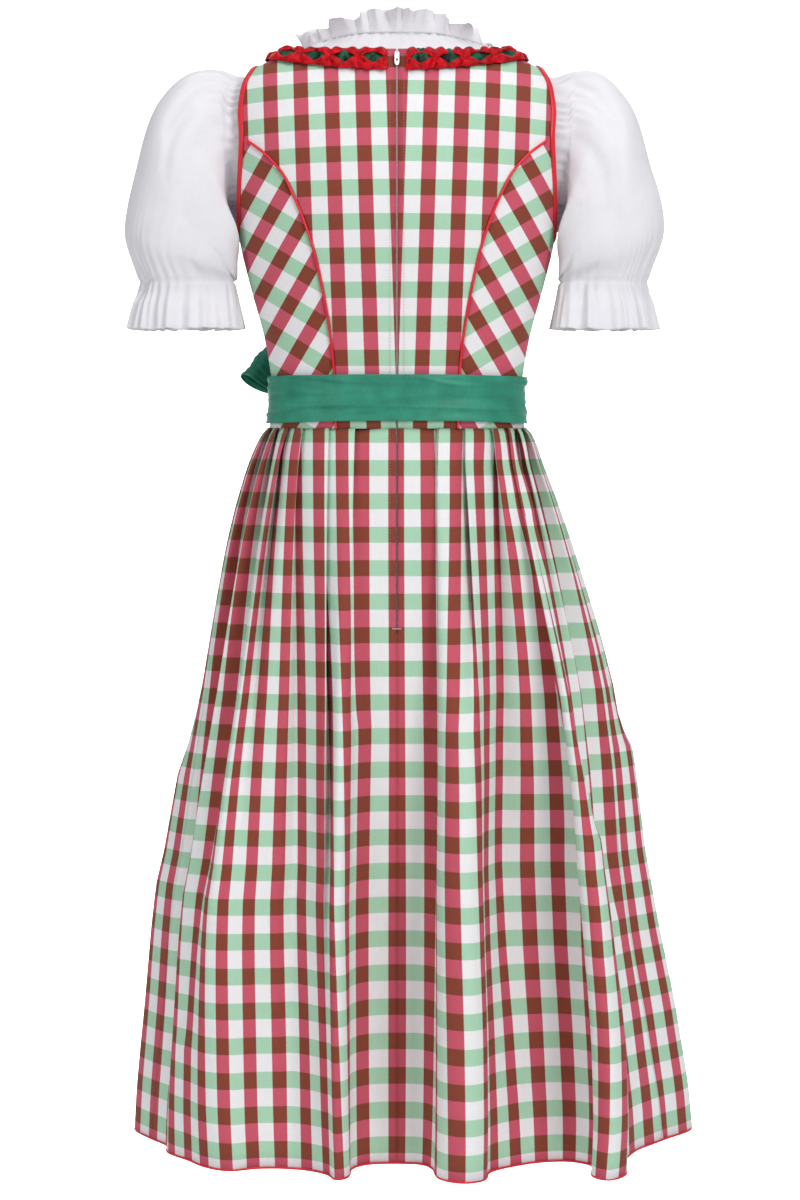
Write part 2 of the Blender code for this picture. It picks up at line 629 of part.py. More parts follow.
def build_hem_piping(satin):
    """A narrow ribbon edge under the hem, all round."""
    tall, thick = 0.0025, 0.0022
    lines = []
    for hand, side in (("left", 1), ("right", -1)):
        half = half_skirt(hand)
        shares = [[0.0, 0.55, 1.0, 1.5]] * (len(half.folds) - 2) + [[0.0, 0.8]]
        plan, _ = half.section(1.0, shares)
        plan[0, 0] = 0.002
        pair = [offset_line(plan, d) * (side, 1) for d in (thick / 2, -thick / 2)]
        lines.append([p[::-1] if side < 0 else p for p in pair])
    outer, inner = (np.concatenate([lines[0][i], lines[1][i]]) for i in (0, 1))
    top, low = HEM_Z - GAP, HEM_Z - GAP - tall
    rings = np.stack([np.column_stack([line, np.full(len(line), z)])
                      for line, z in ((outer, top), (outer, low), (inner, low), (inner, top))], axis=1)
    add_tube("hem_piping", rings, satin, closed=True)


# ---- apron and its tie ------------------------------------------------------------------
BOW_ANGLE = math.radians(128)
BAND_EDGE = math.radians(122)
APRON_EDGE = math.radians(128)
APRON_LENGTH = 0.640
APRON_WAVES = 13
APRON_WAVE_DEPTH = 0.0045


def band_wall(name, angles, satin, lift=0.0041):
    """A stretch of the waist band, with soft creases along it."""
    heights = np.linspace(SASH_BOTTOM_Z, SASH_TOP_Z, 4)
    grids = []
    for extra in (SASH_THICK, 0.0):
        grids.append(np.array([[body_point(a, z, -lift - extra) for a in angles] for z in heights]))
    add_wall(name, grids[0], grids[1], satin)


def apron_point(turn, v, out):
    """A point outside the skirt's front; turn is the angle from the centre back."""
    waist = body_point(turn, WAIST_Z)[:2]
    centre, side = HEM_CENTRE_X, math.copysign(1, turn)
    hem = hem_ring_point(abs(turn), centre * side) * (side, 1)
    share = v ** FLARE
    place = ((1 - share) * waist + share * hem) * (side_swell(v, side), 1.0)
    away = unit(place - (centre * share, 0))
    return place + away * out


def build_apron(satin):
    angles = np.linspace(BAND_EDGE, 2 * math.pi - BAND_EDGE, 15)
    band_wall("apron_band", angles, satin)
    columns = 2 * APRON_WAVES + 1
    rows = np.array([0.0, 0.06, 0.2, 0.42, 0.7, 1.0]) * APRON_LENGTH
    grids = ([], [])
    for drop in rows:
        z = SASH_BOTTOM_Z + GAP - drop
        v = max(0.0, (WAIST_Z - z) / (WAIST_Z - HEM_Z))
        for layer, extra in ((0, CLOTH), (1, 0.0)):
            line = []
            for i in range(columns):
                turn = APRON_EDGE + (2 * math.pi - 2 * APRON_EDGE) * i / (columns - 1)
                wave = (1 - math.cos(2 * math.pi * APRON_WAVES * i / (columns - 1))) / 2
                out = 0.0044 + APRON_OUT * min(1, v * 12) + extra
                out += wave * APRON_WAVE_DEPTH * (0.35 + 0.65 * min(1, v * 4))
                signed = turn if turn <= math.pi else turn - 2 * math.pi
                line.append([*apron_point(signed, v, out), z])
            grids[layer].append(line)
    add_wall("apron_skirt", np.array(grids[0]), np.array(grids[1]), satin)


def ribbon(name, path, wide, widths, thick, satin):
    """A strip of ribbon along a path, its width along one direction."""
    path, thin = np.array(path), []
    for i in range(len(path)):
        along = unit(path[min(i + 1, len(path) - 1)] - path[max(i - 1, 0)])
        thin.append(unit(np.cross(along, wide)))
    thin = np.array(thin)
    outer = np.array([[p + n * thick / 2 + wide * w * s for s in (-0.5, -0.17, 0.17, 0.5)]
                      for p, n, w in zip(path, thin, widths)])
    inner = np.array([[p - n * thick / 2 + wide * w * s for s in (-0.5, -0.17, 0.17, 0.5)]
                      for p, n, w in zip(path, thin, widths)])
    add_wall(name, outer, inner, satin)


def build_bow(satin):
    """The tie's back stretch, and the bow that closes it on the wearer's left."""
    turn = 0.0006 / 0.13
    band_wall("apron_tie", np.linspace(BAND_EDGE - turn, -BAND_EDGE + turn, 25), satin)
    middle_z = (SASH_TOP_Z + SASH_BOTTOM_Z) / 2
    out = body_normal(BOW_ANGLE, middle_z)
    out = unit(np.array([out[0], out[1], 0]))
    back = np.array([-out[1], out[0], 0])
    up = np.array([0, 0, 1.0])
    knot = body_point(BOW_ANGLE, middle_z) + out * 0.0129
    rings = []
    for along, size in ((-0.012, 0.6), (-0.006, 1.0), (0.006, 1.0), (0.012, 0.6)):
        middle = knot + up * along * 1.15
        rings.append([middle + size * (0.0070 * math.cos(k) * out + 0.0085 * math.sin(k) * back)
                      for k in np.arange(8) * math.pi / 4])
    add_tube("bow_knot", np.array(rings), satin)
    # each loop: away from the knot, out from the body
    loop = ((0.0090, 0.0034), (0.030, 0.0125), (0.052, 0.0150), (0.066, 0.0120), (0.071, 0.0040),
            (0.066, -0.0010), (0.050, -0.0020), (0.030, -0.0020), (0.0090, -0.0030))
    widths = (0.016, 0.034, 0.046, 0.050, 0.051, 0.050, 0.044, 0.032, 0.016)
    # the loop towards the back stands up, and the longer one towards the front hangs down a little
    for name, way, start, reach in (("bow_loop_back", unit(back * 0.67 + up * 0.74), 0.0132, 0.70),
                                    ("bow_loop_front", unit(-back - up * 0.22), 0.0090, 1.0)):
        lean = np.cross(out, way)
        path = []
        for a, b in loop:
            along = start + (a - 0.0090) * reach
            path.append(knot + way * along + out * (b + 0.003 * a / 0.07))
        ribbon(name, path, lean * math.copysign(1, lean[2]), widths, CLOTH, satin)
    for name, shift, start, lift, long in (("bow_tail_long", 0.045, 0.0095, 0.0187, 0.33),
                                           ("bow_tail_short", 0.022, 0.0135, 0.0228, 0.28)):
        grids = ([], [])
        for drop in np.linspace(0, 1, 8):
            z = SASH_TOP_Z - 0.0354 - long * drop
            v = max(0.0, (WAIST_Z - z) / (WAIST_Z - HEM_Z))
            wide = 0.018 + 0.040 * min(1, drop * 3)
            for layer, extra in ((0, CLOTH), (1, 0.0)):
                line = []
                for s in (-0.5, -0.17, 0.17, 0.5):
                    around = BOW_ANGLE + (shift * min(1, drop * 3) + wide * s) / (0.13 + 0.15 * v ** FLARE)
                    out_by = start + (lift - start) * min(1, v * 12) + extra
                    line.append([*apron_point(around, v, out_by), z])
                grids[layer].append(line)
        add_wall(name, np.array(grids[0]), np.array(grids[1]), satin)


# ---- blouse --------------------------------------------------------------------------
# the blouse's neck edge: degrees from the centre back, height
BLOUSE_NECK = np.array([
    (0, 0.0260), (35, 0.0255), (60, 0.0220), (90, 0.0140), (117, 0.0105), (131, 0.0045),
    (147, -0.0120), (157, -0.0400), (164, -0.0580), (172, -0.0660), (180, -0.0680),
])
BLOUSE_HEM_Z = -0.205
SLEEVE_COLUMNS = 28
ARMHOLE_INSET = 0.0042
UNDERARM_BLOUSE = -0.1735
# rings of the sleeve: outer edge across and height, inner edge across and height, half depth
SLEEVE_RINGS = (
    (0.1760, -0.0130, 0.1660, -0.1840, 0.0430), (0.2060, -0.0190, 0.1630, -0.2000, 0.0540),
    (0.2410, -0.0480, 0.1615, -0.2070, 0.0580), (0.2600, -0.1120, 0.1610, -0.2120, 0.0590),
    (0.2715, -0.1780, 0.1610, -0.2180, 0.0560),
    (0.2610, -0.2220, 0.1610, -0.2220, 0.0480), (0.2665, -0.2470, 0.1585, -0.2470, 0.0540),
    (0.2700, -0.2680, 0.1560, -0.2680, 0.0590),
)
RUFFLE_TALL = 0.0200
RUFFLE_WAVES = 38


def blouse_armhole(front):
    """The blouse's armhole, a little inside the bodice's, from the shoulder down."""
    table = ARMHOLE_FRONT if front else ARMHOLE_BACK
    line = smooth_line(table, 9)[1:-1]
    line = np.array([(x + ARMHOLE_INSET, z) for x, z in line if z > UNDERARM_BLOUSE + 0.012])
    turn = SIDE_ANGLE + (0.001 if front else -0.001)
    return np.concatenate([[(turn, -0.0125)], on_body(line, front), [(turn, UNDERARM_BLOUSE)]])


def blouse_inset(angle, z):
    """The blouse lies deepest under the front straps, where the body curves most."""
    front = min(1.0, max(0.0, -math.cos(angle) * 4))
    high = min(1.0, max(0.0, (z + 0.07) / 0.03))
    return BLOUSE_INSET + 0.0048 * front * high


def blouse_neck(angle):
    return float(smooth(np.radians(BLOUSE_NECK[:, 0]), BLOUSE_NECK[:, 1], angle))


def build_blouse_body(linen):
    for front in (False, True):
        turn = SIDE_ANGLE + (0.001 if front else -0.001)
        middle = math.pi if front else 0.0
        hole = resample(blouse_armhole(front), 7)
        outside = np.concatenate([[(turn, BLOUSE_HEM_Z)], hole[::-1]])
        across = np.linspace(middle, turn, 7 if front else 5)
        top = [(a, blouse_neck(a)) for a in across] + [(turn, 0.003), (turn, -0.0125)]
        low_z = UNDERARM_BLOUSE + 0.02 if not front else UNDERARM_BLOUSE + 0.01
        ends = (0, 1, len(outside) - 1)
        centre_z = np.interp(np.arange(len(outside)), ends, (BLOUSE_HEM_Z, low_z, top[0][1]))
        centre = np.array([(middle, z) for z in centre_z])
        bottom = np.array([(a, BLOUSE_HEM_Z) for a in np.linspace(middle, turn, len(top))])
        half = patch(bottom, np.array(top), centre, outside, 2)
        other = half[:, ::-1][:, :-1].copy()
        other[:, :, 0] = 2 * middle - other[:, :, 0]
        grid = np.concatenate([other, half], axis=1)
        body_wall("blouse_front" if front else "blouse_back", grid, linen, blouse_inset)


def build_sleeves(linen):
    back, front = resample(blouse_armhole(False), 7), resample(blouse_armhole(True), 7)
    loop = np.concatenate([back, front[::-1][1:-1]])
    edge = np.array([body_point(*p, inset=blouse_inset(*p) + CLOTH / 2) for p in loop])
    closed = resample(np.concatenate([edge, edge[:1]]), SLEEVE_COLUMNS + 1)[:-1]
    middle = closed.mean(0)
    inward = (middle - closed) / np.linalg.norm(middle - closed, axis=1)[:, None]
    start = closed + inward * 0.0022
    rings = [start, start + (0.0105, 0, 0) + inward * 0.0004]
    turns = np.arange(SLEEVE_COLUMNS) * 2 * math.pi / SLEEVE_COLUMNS
    for i, (out_x, out_z, in_x, in_z, deep) in enumerate(SLEEVE_RINGS):
        outer, inner = np.array([out_x, 0, out_z]), np.array([in_x, 0, in_z])
        centre, reach = (outer + inner) / 2, (outer - inner) / 2
        wave = {6: 0.0024, 7: 0.0038}.get(i, 0.0)
        ring = []
        for k, turn in enumerate(turns):
            cos, sin = math.cos(turn), math.sin(turn)
            place = centre + reach * cos + np.array([0, deep * sin, 0])
            ring.append(place + unit(place - centre) * wave * (1 if k % 2 else -1))
        rings.append(np.array(ring))
    grid = np.array(rings)
    across = np.roll(grid, -1, 1) - np.roll(grid, 1, 1)
    down = np.gradient(grid, axis=0)
    normal = np.cross(across, down)
    normal /= np.linalg.norm(normal, axis=2)[:, :, None]
    if np.sum(normal[6] * (grid[6] - grid[6].mean(0))) < 0:
        normal = -normal
    for side, hand in ((1, "left"), (-1, "right")):
        add_wall(f"sleeve_{hand}", (grid + normal * CLOTH / 2) * (side, 1, 1),
                 (grid - normal * CLOTH / 2) * (side, 1, 1), linen, closed=True)


def build_neck_ruffle(linen):
    """A gathered frill standing on the blouse's neck edge."""
    count = 2 * RUFFLE_WAVES
    turns = np.linspace(0, 2 * math.pi, 145)
    line = np.array([(a, blouse_neck(min(a, 2 * math.pi - a))) for a in turns])
    edge = np.array([body_point(*p) for p in line])
    run = np.concatenate([[0], np.cumsum(np.linalg.norm(np.diff(edge, axis=0), axis=1))])
    places = np.arange(count) * run[-1] / count
    angles, heights = np.interp(places, run, line[:, 0]), np.interp(places, run, line[:, 1])
    grids = ([], [])
    for high in (0.0, 1.0):
        for layer, extra in ((0, CLOTH / 2), (1, -CLOTH / 2)):
            row = []
            for i, (angle, z) in enumerate(zip(angles, heights)):
                base = body_point(angle, z, blouse_inset(angle, z) + CLOTH / 2)
                away = unit(np.array([base[0], base[1], 0]))
                lean = 0.10 + 0.10 * math.sin(angle) ** 2
                stand = unit(np.array([0, 0, 1.0]) + away * lean)
                wave = 0.0030 * high * (1 if i % 2 else -1)
                row.append(base + stand * (0.0020 + RUFFLE_TALL * high) + away * (wave + extra))
            grids[layer].append(row)
    add_wall("neck_ruffle", np.array(grids[0]), np.array(grids[1]), linen, closed=True)


# ---- ruched ribbon round the neckline -----------------------------------------------------
RUCHE_WIDTH = 0.0210
RUCHE_UNIT = 0.0280
RUCHE_END = 0.0095


def bodice_neck_line():
    """The bodice's neck edge from the centre back, over the left shoulder, to the centre front."""
    neck_angle = body_angle(NECK_SHOULDER[0] - 1e-4, NECK_SHOULDER[1])
    back = [(a, NECK_BACK_Z + (NECK_SHOULDER[1] - NECK_BACK_Z) * (a / neck_angle) ** 2)
            for a in np.linspace(body_angle(RUCHE_END, 0.0), neck_angle, 9)]
    front = on_body(smooth_line(FRONT_NECKLINE, 9)[::-1], front=True)
    return np.concatenate([back, front[1:-1], [(math.pi, NECK_FRONT_Z)]])


def build_ruche(satin):
    half = bodice_neck_line()
    other = half[::-1][1:].copy()
    other[:, 0] = 2 * math.pi - other[:, 0]
    line = np.concatenate([half, other])
    edge = np.array([body_point(*p) for p in line])
    run = np.concatenate([[0], np.cumsum(np.linalg.norm(np.diff(edge, axis=0), axis=1))])
    units = round(run[-1] / RUCHE_UNIT)
    places = np.linspace(0, run[-1], 3 * units + 1)
    angles, heights = np.interp(places, run, line[:, 0]), np.interp(places, run, line[:, 1])
    edges = [body_point(a, z) for a, z in zip(angles, heights)]
    rings = []
    for i, (a, z) in enumerate(zip(angles, heights)):
        out = body_normal(a, z)
        along = unit(edges[min(i + 1, len(edges) - 1)] - edges[max(i - 1, 0)])
        down = unit(np.cross(out, along))
        if down[2] > 0:
            down = -down
        pinch = i % 3 == 0
        wide = RUCHE_WIDTH * (0.86 if pinch else 1.0)
        bulge = 0.0022 if pinch else 0.0048
        below = [edges[i] + down * s for s in (-0.0015, wide / 2 - 0.0015, wide - 0.0015)]
        step = min(0.010, wide / 2)
        sink = np.dot(edges[i] + down * step - body_point(a, z + down[2] * step), out)
        lift = 0.0012 + max(0.0, -sink)
        face = [place + out * (lift + more) for place, more in zip(below, (CLOTH, bulge, CLOTH))]
        rings.append(face + [place + out * lift for place in below[::-1]])
    add_tube("neck_ruche", np.array(rings), satin)


# ---- zip -----------------------------------------------------------------------------
TAPE_WIDTH = 0.012
SLIDER_Z = -0.0010
TAB_LONG, TAB_WIDE, TAB_THICK = 0.0150, 0.0046, 0.0010
TAB_TILT = math.radians(8)      # the tab leans in from its bar until it lies on the bodice
HINGE_ALONG, HINGE_OUT = 0.0, 0.0035


def build_zip(tape_cloth, metal):
    half = half_skirt("left")
    rows = []
    for z in (*np.linspace(ZIP_END_Z, WAIST_Z, 7), *np.linspace(WAIST_Z + 0.020, 0.002, 11)):
        below = min(1.0, max(0.0, (WAIST_Z + 0.02 - z) / 0.02))
        y = body_point(0, max(z, WAIST_Z))[1]
        if z < WAIST_Z:
            y = half.hull(0.0, 0.0, (WAIST_Z - z) / (WAIST_Z - HEM_Z))[1]
        rows.append((y - 0.0026 - 0.0016 * below, z))
    grids = []
    for depth in (0.0, 0.0008):
        edges = (-TAPE_WIDTH / 2, 0, TAPE_WIDTH / 2)
        grids.append(np.array([[(x, y - depth, z) for x in edges] for y, z in rows]))
    add_wall("zip_tape", grids[0], grids[1], tape_cloth)

    top = body_point(0, SLIDER_Z)
    out = body_normal(0, SLIDER_Z)
    across = np.array([1.0, 0, 0])
    down = unit(np.cross(across, out))
    if down[2] > 0:
        down = -down

    def place(sideways, along, away):
        return top + across * sideways + down * along + out * away

    # a tee: a face plate over the slit, with a neck through it
    tee = [(-0.0030, 0.0006), (-0.0005, 0.0006), (-0.0005, -0.0014), (0.0005, -0.0014), (0.0005, 0.0006),
           (0.0030, 0.0006), (0.0030, 0.0020), (-0.0030, 0.0020)]
    ends = [[place(x, y, z) for x, z in tee] for y in (-0.0050, 0.0045)]
    slider = add_tube("zip_slider", np.array(ends), metal)
    # the bail, an arch over the plate that carries the tab
    arch = [(-0.0026, 0.0013), (-0.0020, 0.0055), (0.0020, 0.0055), (0.0026, 0.0013)]
    inside = [(-0.0017, 0.0016), (-0.0013, 0.0048), (0.0013, 0.0048), (0.0017, 0.0016)]
    rings = [[place(x, *p) for x, p in ((-0.0006, a), (0.0006, a), (0.0006, b), (-0.0006, b))]
             for a, b in zip(arch, inside)]
    bail = add_tube("bail", np.array(rings), metal)
    bail.hide_render = True
    union = slider.modifiers.new("bail", "BOOLEAN")
    union.operation = "UNION"
    union.object = bail

    # the pull tab: a bar in the bail, two side arms and a plate
    hinge = place(0, HINGE_ALONG, HINGE_OUT)
    fall = math.cos(TAB_TILT) * down - math.sin(TAB_TILT) * out
    face = math.cos(TAB_TILT) * out + math.sin(TAB_TILT) * down
    half_bar, arm, window = TAB_THICK / 2, 0.0009, 0.0034
    wide, tip = TAB_WIDE / 2, TAB_WIDE / 2 - 0.0008
    corners = [((-wide, -half_bar), (-wide + arm, half_bar)), ((wide, -half_bar), (wide - arm, half_bar)),
               ((wide, TAB_LONG * 0.7), (wide - arm, window)), ((tip, TAB_LONG), (tip - 0.0004, window)),
               ((-tip, TAB_LONG), (0.0004 - tip, window)), ((-wide, TAB_LONG * 0.7), (-wide + arm, window))]
    rings = [[hinge + across * x + fall * y + face * h * half_bar for x, y, h in
              ((*a, 1), (*a, -1), (*b, -1), (*b, 1))] for a, b in corners]
    add_tube("zip_pull_tab", np.array(rings), metal, closed=True)


def main():
    for piece in list(bpy.data.objects):
        bpy.data.objects.remove(piece)
    cotton = colour_material("check_cotton", (0.62, 0.42, 0.40))
    red_satin = colour_material("red_satin", (0.62, 0.02, 0.05), 0.4)
    green_satin = colour_material("green_satin", (0.03, 0.27, 0.19), 0.35)
    linen = colour_material("white_cotton", (0.85, 0.85, 0.87), 0.8)
    metal = colour_material("zip_metal", (0.7, 0.7, 0.72), 0.3, 1.0)
    tape_cloth = colour_material("zip_tape", (0.75, 0.73, 0.72), 0.8)
    grids = build_bodice(cotton)
    build_piping(red_satin)
    build_bindings(red_satin, grids)
    build_skirt(cotton)
    build_hem_piping(red_satin)
    build_apron(green_satin)
    build_bow(green_satin)
    build_blouse_body(linen)
    build_sleeves(linen)
    build_neck_ruffle(linen)
    build_ruche(red_satin)
    build_zip(tape_cloth, metal)


main()
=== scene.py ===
import math

import bmesh
import bpy
import numpy as np
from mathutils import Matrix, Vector


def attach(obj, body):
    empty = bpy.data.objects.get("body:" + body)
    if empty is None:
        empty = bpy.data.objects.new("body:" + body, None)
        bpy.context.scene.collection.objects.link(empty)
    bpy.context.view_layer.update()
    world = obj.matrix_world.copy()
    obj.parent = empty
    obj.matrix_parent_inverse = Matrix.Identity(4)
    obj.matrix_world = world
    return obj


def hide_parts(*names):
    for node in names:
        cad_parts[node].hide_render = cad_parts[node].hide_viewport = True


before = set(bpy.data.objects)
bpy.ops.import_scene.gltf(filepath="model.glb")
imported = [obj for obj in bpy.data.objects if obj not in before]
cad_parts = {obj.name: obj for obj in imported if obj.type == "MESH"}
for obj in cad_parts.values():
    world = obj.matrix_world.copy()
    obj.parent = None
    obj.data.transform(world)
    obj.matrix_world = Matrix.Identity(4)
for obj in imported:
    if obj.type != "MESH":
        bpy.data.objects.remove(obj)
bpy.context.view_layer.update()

# ==== BODICE ====
# The bodice of the dress, cut as seven panels of checked cotton on the form it is filled out to.
# The back has its grain straight down, the side panels are cut on the bias and meet it in curved
# princess seams, and the two back halves meet at the zip.
WAIST_Z, UNDERARM_Z = -0.366, -0.180
SIDE = math.radians(90)
ZIP_SLIT = 0.0016
NECK_BACK_Z, NECK_FRONT_Z = 0.006, -0.118
NECK_SHOULDER, SHOULDER_TIP = (0.104, 0.010), (0.142, -0.009)
FORM_ROUND = 0.92                         # of the form's section; 1 would make it an ellipse
# the bust: distance across, height, half width, half height, how far it stands out
BUST = (0.072, -0.155, 0.046, 0.055, 0.011)
SEAM_GAP, SIDE_GAP = 0.0002, 0.001        # a distance, and an angle at the shoulder and side
PANEL_LOW = 0.27                          # how far up a panel its bottom edge bends it, as a share
HANDS = (("left", 1), ("right", -1))
# height, half width, depth to the back, depth to the front
FORM_RINGS = np.array([
    (0.030, 0.068, 0.041, 0.036), (0.022, 0.080, 0.045, 0.040), (0.014, 0.095, 0.050, 0.045),
    (0.010, 0.104, 0.053, 0.048), (0.006, 0.1125, 0.057, 0.051), (0.000, 0.1240, 0.063, 0.055),
    (-0.009, 0.1420, 0.071, 0.061), (-0.020, 0.1575, 0.079, 0.067), (-0.035, 0.1680, 0.087, 0.074),
    (-0.060, 0.1730, 0.097, 0.084), (-0.110, 0.1670, 0.109, 0.104), (-0.150, 0.1610, 0.111, 0.117),
    (-0.185, 0.1560, 0.108, 0.120), (-0.220, 0.1475, 0.103, 0.112), (-0.280, 0.1315, 0.092, 0.097),
    (-0.305, 0.1270, 0.088, 0.094), (-0.336, 0.1235, 0.084, 0.090), (-0.366, 0.1275, 0.087, 0.093),
])[::-1]
# the seams and edges, as distance across from the centre and height
BACK_PRINCESS = ((0.0595, WAIST_Z), (0.0600, -0.330), (0.0635, -0.285), (0.0720, -0.232), (0.0835, -0.183),
                 (0.0990, -0.142), (0.1110, -0.118), (0.1240, -0.102), (0.1540, -0.078))
FRONT_PRINCESS = ((0.0480, WAIST_Z), (0.0500, -0.320), (0.0610, -0.250), (0.0700, -0.190),
                  (0.0800, -0.155), (0.1020, -0.115), (0.1505, -0.085))
ARMHOLE_BACK = ((0.1420, -0.009), (0.1490, -0.021), (0.1555, -0.045), (0.1540, -0.078),
                (0.1560, -0.120), (0.1568, -0.150), (0.1565, -0.176))
ARMHOLE_FRONT = ((0.1420, -0.009), (0.1470, -0.024), (0.1500, -0.050), (0.1505, -0.085),
                 (0.1530, -0.125), (0.1555, -0.155), (0.1565, -0.176))
FRONT_NECK = ((0.0000, -0.118), (0.0350, -0.104), (0.0620, -0.082), (0.0800, -0.046),
              (0.0920, -0.012), (0.1040, 0.010))


def eased(xs, ys, at):
    """Values of a smooth curve through (xs, ys), xs rising."""
    xs, ys, at = (np.asarray(a, float) for a in (xs, ys, at))
    slopes = np.gradient(ys, xs)
    at = np.clip(at, xs[0], xs[-1])
    i = np.clip(np.searchsorted(xs, at, side="right") - 1, 0, len(xs) - 2)
    step, rise = xs[i + 1] - xs[i], ys[i + 1] - ys[i]
    f = (at - xs[i]) / step
    bend = (1 - f) * (slopes[i] * step - rise) + f * (rise - slopes[i + 1] * step)
    return ys[i] + f * rise + f * (1 - f) * bend


def run_length(line):
    return np.concatenate([[0], np.cumsum(np.linalg.norm(np.diff(line, axis=0), axis=1))])


def even(line, count):
    """The same line with this many points, evenly apart."""
    line = np.asarray(line, float)
    run = run_length(line)
    return np.stack([np.interp(np.linspace(0, run[-1], count), run, c) for c in line.T], 1)


def flowing(line, count):
    """An even, smooth line through a few points."""
    line = np.asarray(line, float)
    run = run_length(line)
    fine = np.linspace(0, run[-1], 12 * len(line))
    return even(np.stack([eased(run, c, fine) for c in line.T], 1), count)


def signed_power(value, power):
    """A number's size to a power, its sign kept."""
    return np.sign(value) * np.abs(value) ** power


def form_surface(angle, z):
    """Points of the filled-out form: angle from the centre back towards the wearer's left, and height."""
    angle, z = np.broadcast_arrays(np.asarray(angle, float), np.asarray(z, float))
    wide, back, front = (eased(FORM_RINGS[:, 0], FORM_RINGS[:, k], z) for k in (1, 2, 3))
    sin, cos = np.sin(angle), np.cos(angle)
    x = wide * signed_power(sin, FORM_ROUND)
    y = np.where(cos > 0, back, front) * signed_power(cos, FORM_ROUND)
    across, height, half_wide, half_high, out = BUST
    off = ((np.abs(x) - across) / half_wide) ** 2 + ((z - height) / half_high) ** 2
    y = y - np.where(cos < 0, out * np.exp(-off) * np.minimum(1, -cos * 2.5), 0)
    return np.stack([x, y, z], -1)


def unit(v):
    return v / np.linalg.norm(v, axis=-1, keepdims=True)


def form_normal(angle, z):
    angle, z = np.broadcast_arrays(np.asarray(angle, float), np.asarray(z, float))
    high = np.minimum(z + 1e-3, FORM_RINGS[-1, 0])
    across = form_surface(angle + 1e-3, z) - form_surface(angle - 1e-3, z)
    return unit(np.cross(form_surface(angle, high) - form_surface(angle, high - 2e-3), across))


def form(angle, z, out=0.0):
    """The same surface, moved outwards."""
    return form_surface(angle, z) + form_normal(angle, z) * np.asarray(out, float)[..., None]


def form_angle(across, z, front=False):
    """The angle at which the form, at this height, is this far across."""
    wide = eased(FORM_RINGS[:, 0], FORM_RINGS[:, 1], z)
    angle = np.arcsin(np.minimum(1, np.abs(across) / wide) ** (1 / FORM_ROUND))
    return np.copysign(np.pi - angle if front else angle, across)


def on_form(line, front=False):
    return np.array([(form_angle(x, z, front), z) for x, z in line])


def places(angles, heights):
    """A line of (angle, height); either may be one number for the whole line."""
    return np.stack(np.broadcast_arrays(angles, heights), -1)


def other_side(line, middle=math.pi):
    """A line of (angle, height), mirrored about the centre front or another angle."""
    return line * (-1, 1) + (2 * middle, 0)


def in_scene(name, data):
    made = bpy.data.objects.new(name, data)
    bpy.context.scene.collection.objects.link(made)
    return made


def mesh_piece(name, points, faces, finish, smooth=True):
    mesh = bpy.data.meshes.new(name)
    mesh.from_pydata(np.asarray(points).reshape(-1, 3).tolist(), [], [list(f) for f in faces])
    mesh.update()
    mesh.polygons.foreach_set("use_smooth", [smooth] * len(mesh.polygons))
    mesh.materials.append(finish)
    return in_scene(name, mesh)


def by_face(grid):
    """The values at the four corners of each face of a grid, in order round the face."""
    corners = grid[:-1, :-1], grid[:-1, 1:], grid[1:, 1:], grid[1:, :-1]
    return np.stack(corners, 2).reshape(-1, 4, *grid.shape[2:])


def cloth(name, grid, cut, finish, thick=0.0009, around=False, centre=None):
    """A sheet of cloth through a grid of points, its flat place in metres kept as its UV map.

    around joins the last column to the first, and then cut has one column more than grid.
    centre is a point that the right side of the cloth faces away from.
    """
    rows, cols, _ = grid.shape
    index = np.arange(rows * cols).reshape(rows, cols)
    if around:
        index = np.concatenate([index, index[:, :1]], axis=1)
    quads, flat = by_face(index), by_face(cut)
    points = grid.reshape(-1, 3)
    a, b, c, d = (points[quads[:, k]] for k in range(4))
    faces_out = np.cross(c - a, d - b)
    middle = (a + b + c + d) / 4 - (points.mean(0) if centre is None else np.asarray(centre))
    if np.sum(faces_out * middle) < 0:
        quads, flat = quads[:, ::-1], flat[:, ::-1]
    piece = mesh_piece(name, points, quads, finish)
    uv = piece.data.uv_layers.new(name="cloth")
    uv.data.foreach_set("uv", flat.reshape(-1).astype(np.float32))
    wall = piece.modifiers.new("cloth thickness", "SOLIDIFY")
    wall.thickness, wall.offset, wall.use_even_offset = thick, -1, False
    return piece


def placed(piece, slot, *nodes, body="dress"):
    """Hides the nodes that a piece stands for and attaches it to the body that it moves with; the slot of its
    material is not used.
    """
    if nodes:
        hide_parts(*nodes)
    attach(piece, body)


def cloth_piece(name, node, slot, finish, grid, cut, flat, held, rests_on=(), area=None, **making):
    """A sheet of cloth in a node's place; the flat size that it is cut to and how it is held are not used."""
    piece = cloth(name, grid, cut, finish, **making)
    placed(piece, slot, node)


def panel(bottom, top, left, right, steady):
    """A grid of (angle, height) between four edges of a panel; its lowest share stays straight across."""
    rows, u = len(left), np.linspace(0, 1, len(bottom))[:, None]
    straight = np.array([l * (1 - u) + r * u for l, r in zip(left, right)])
    share = np.linspace(0, 1, rows)[:, None, None]
    low = np.maximum(0, 1 - share / PANEL_LOW)
    high = np.maximum(0, (share - steady) / (1 - steady)) ** 1.5
    return straight + low * (bottom - straight[0]) + high * (top - straight[-1])


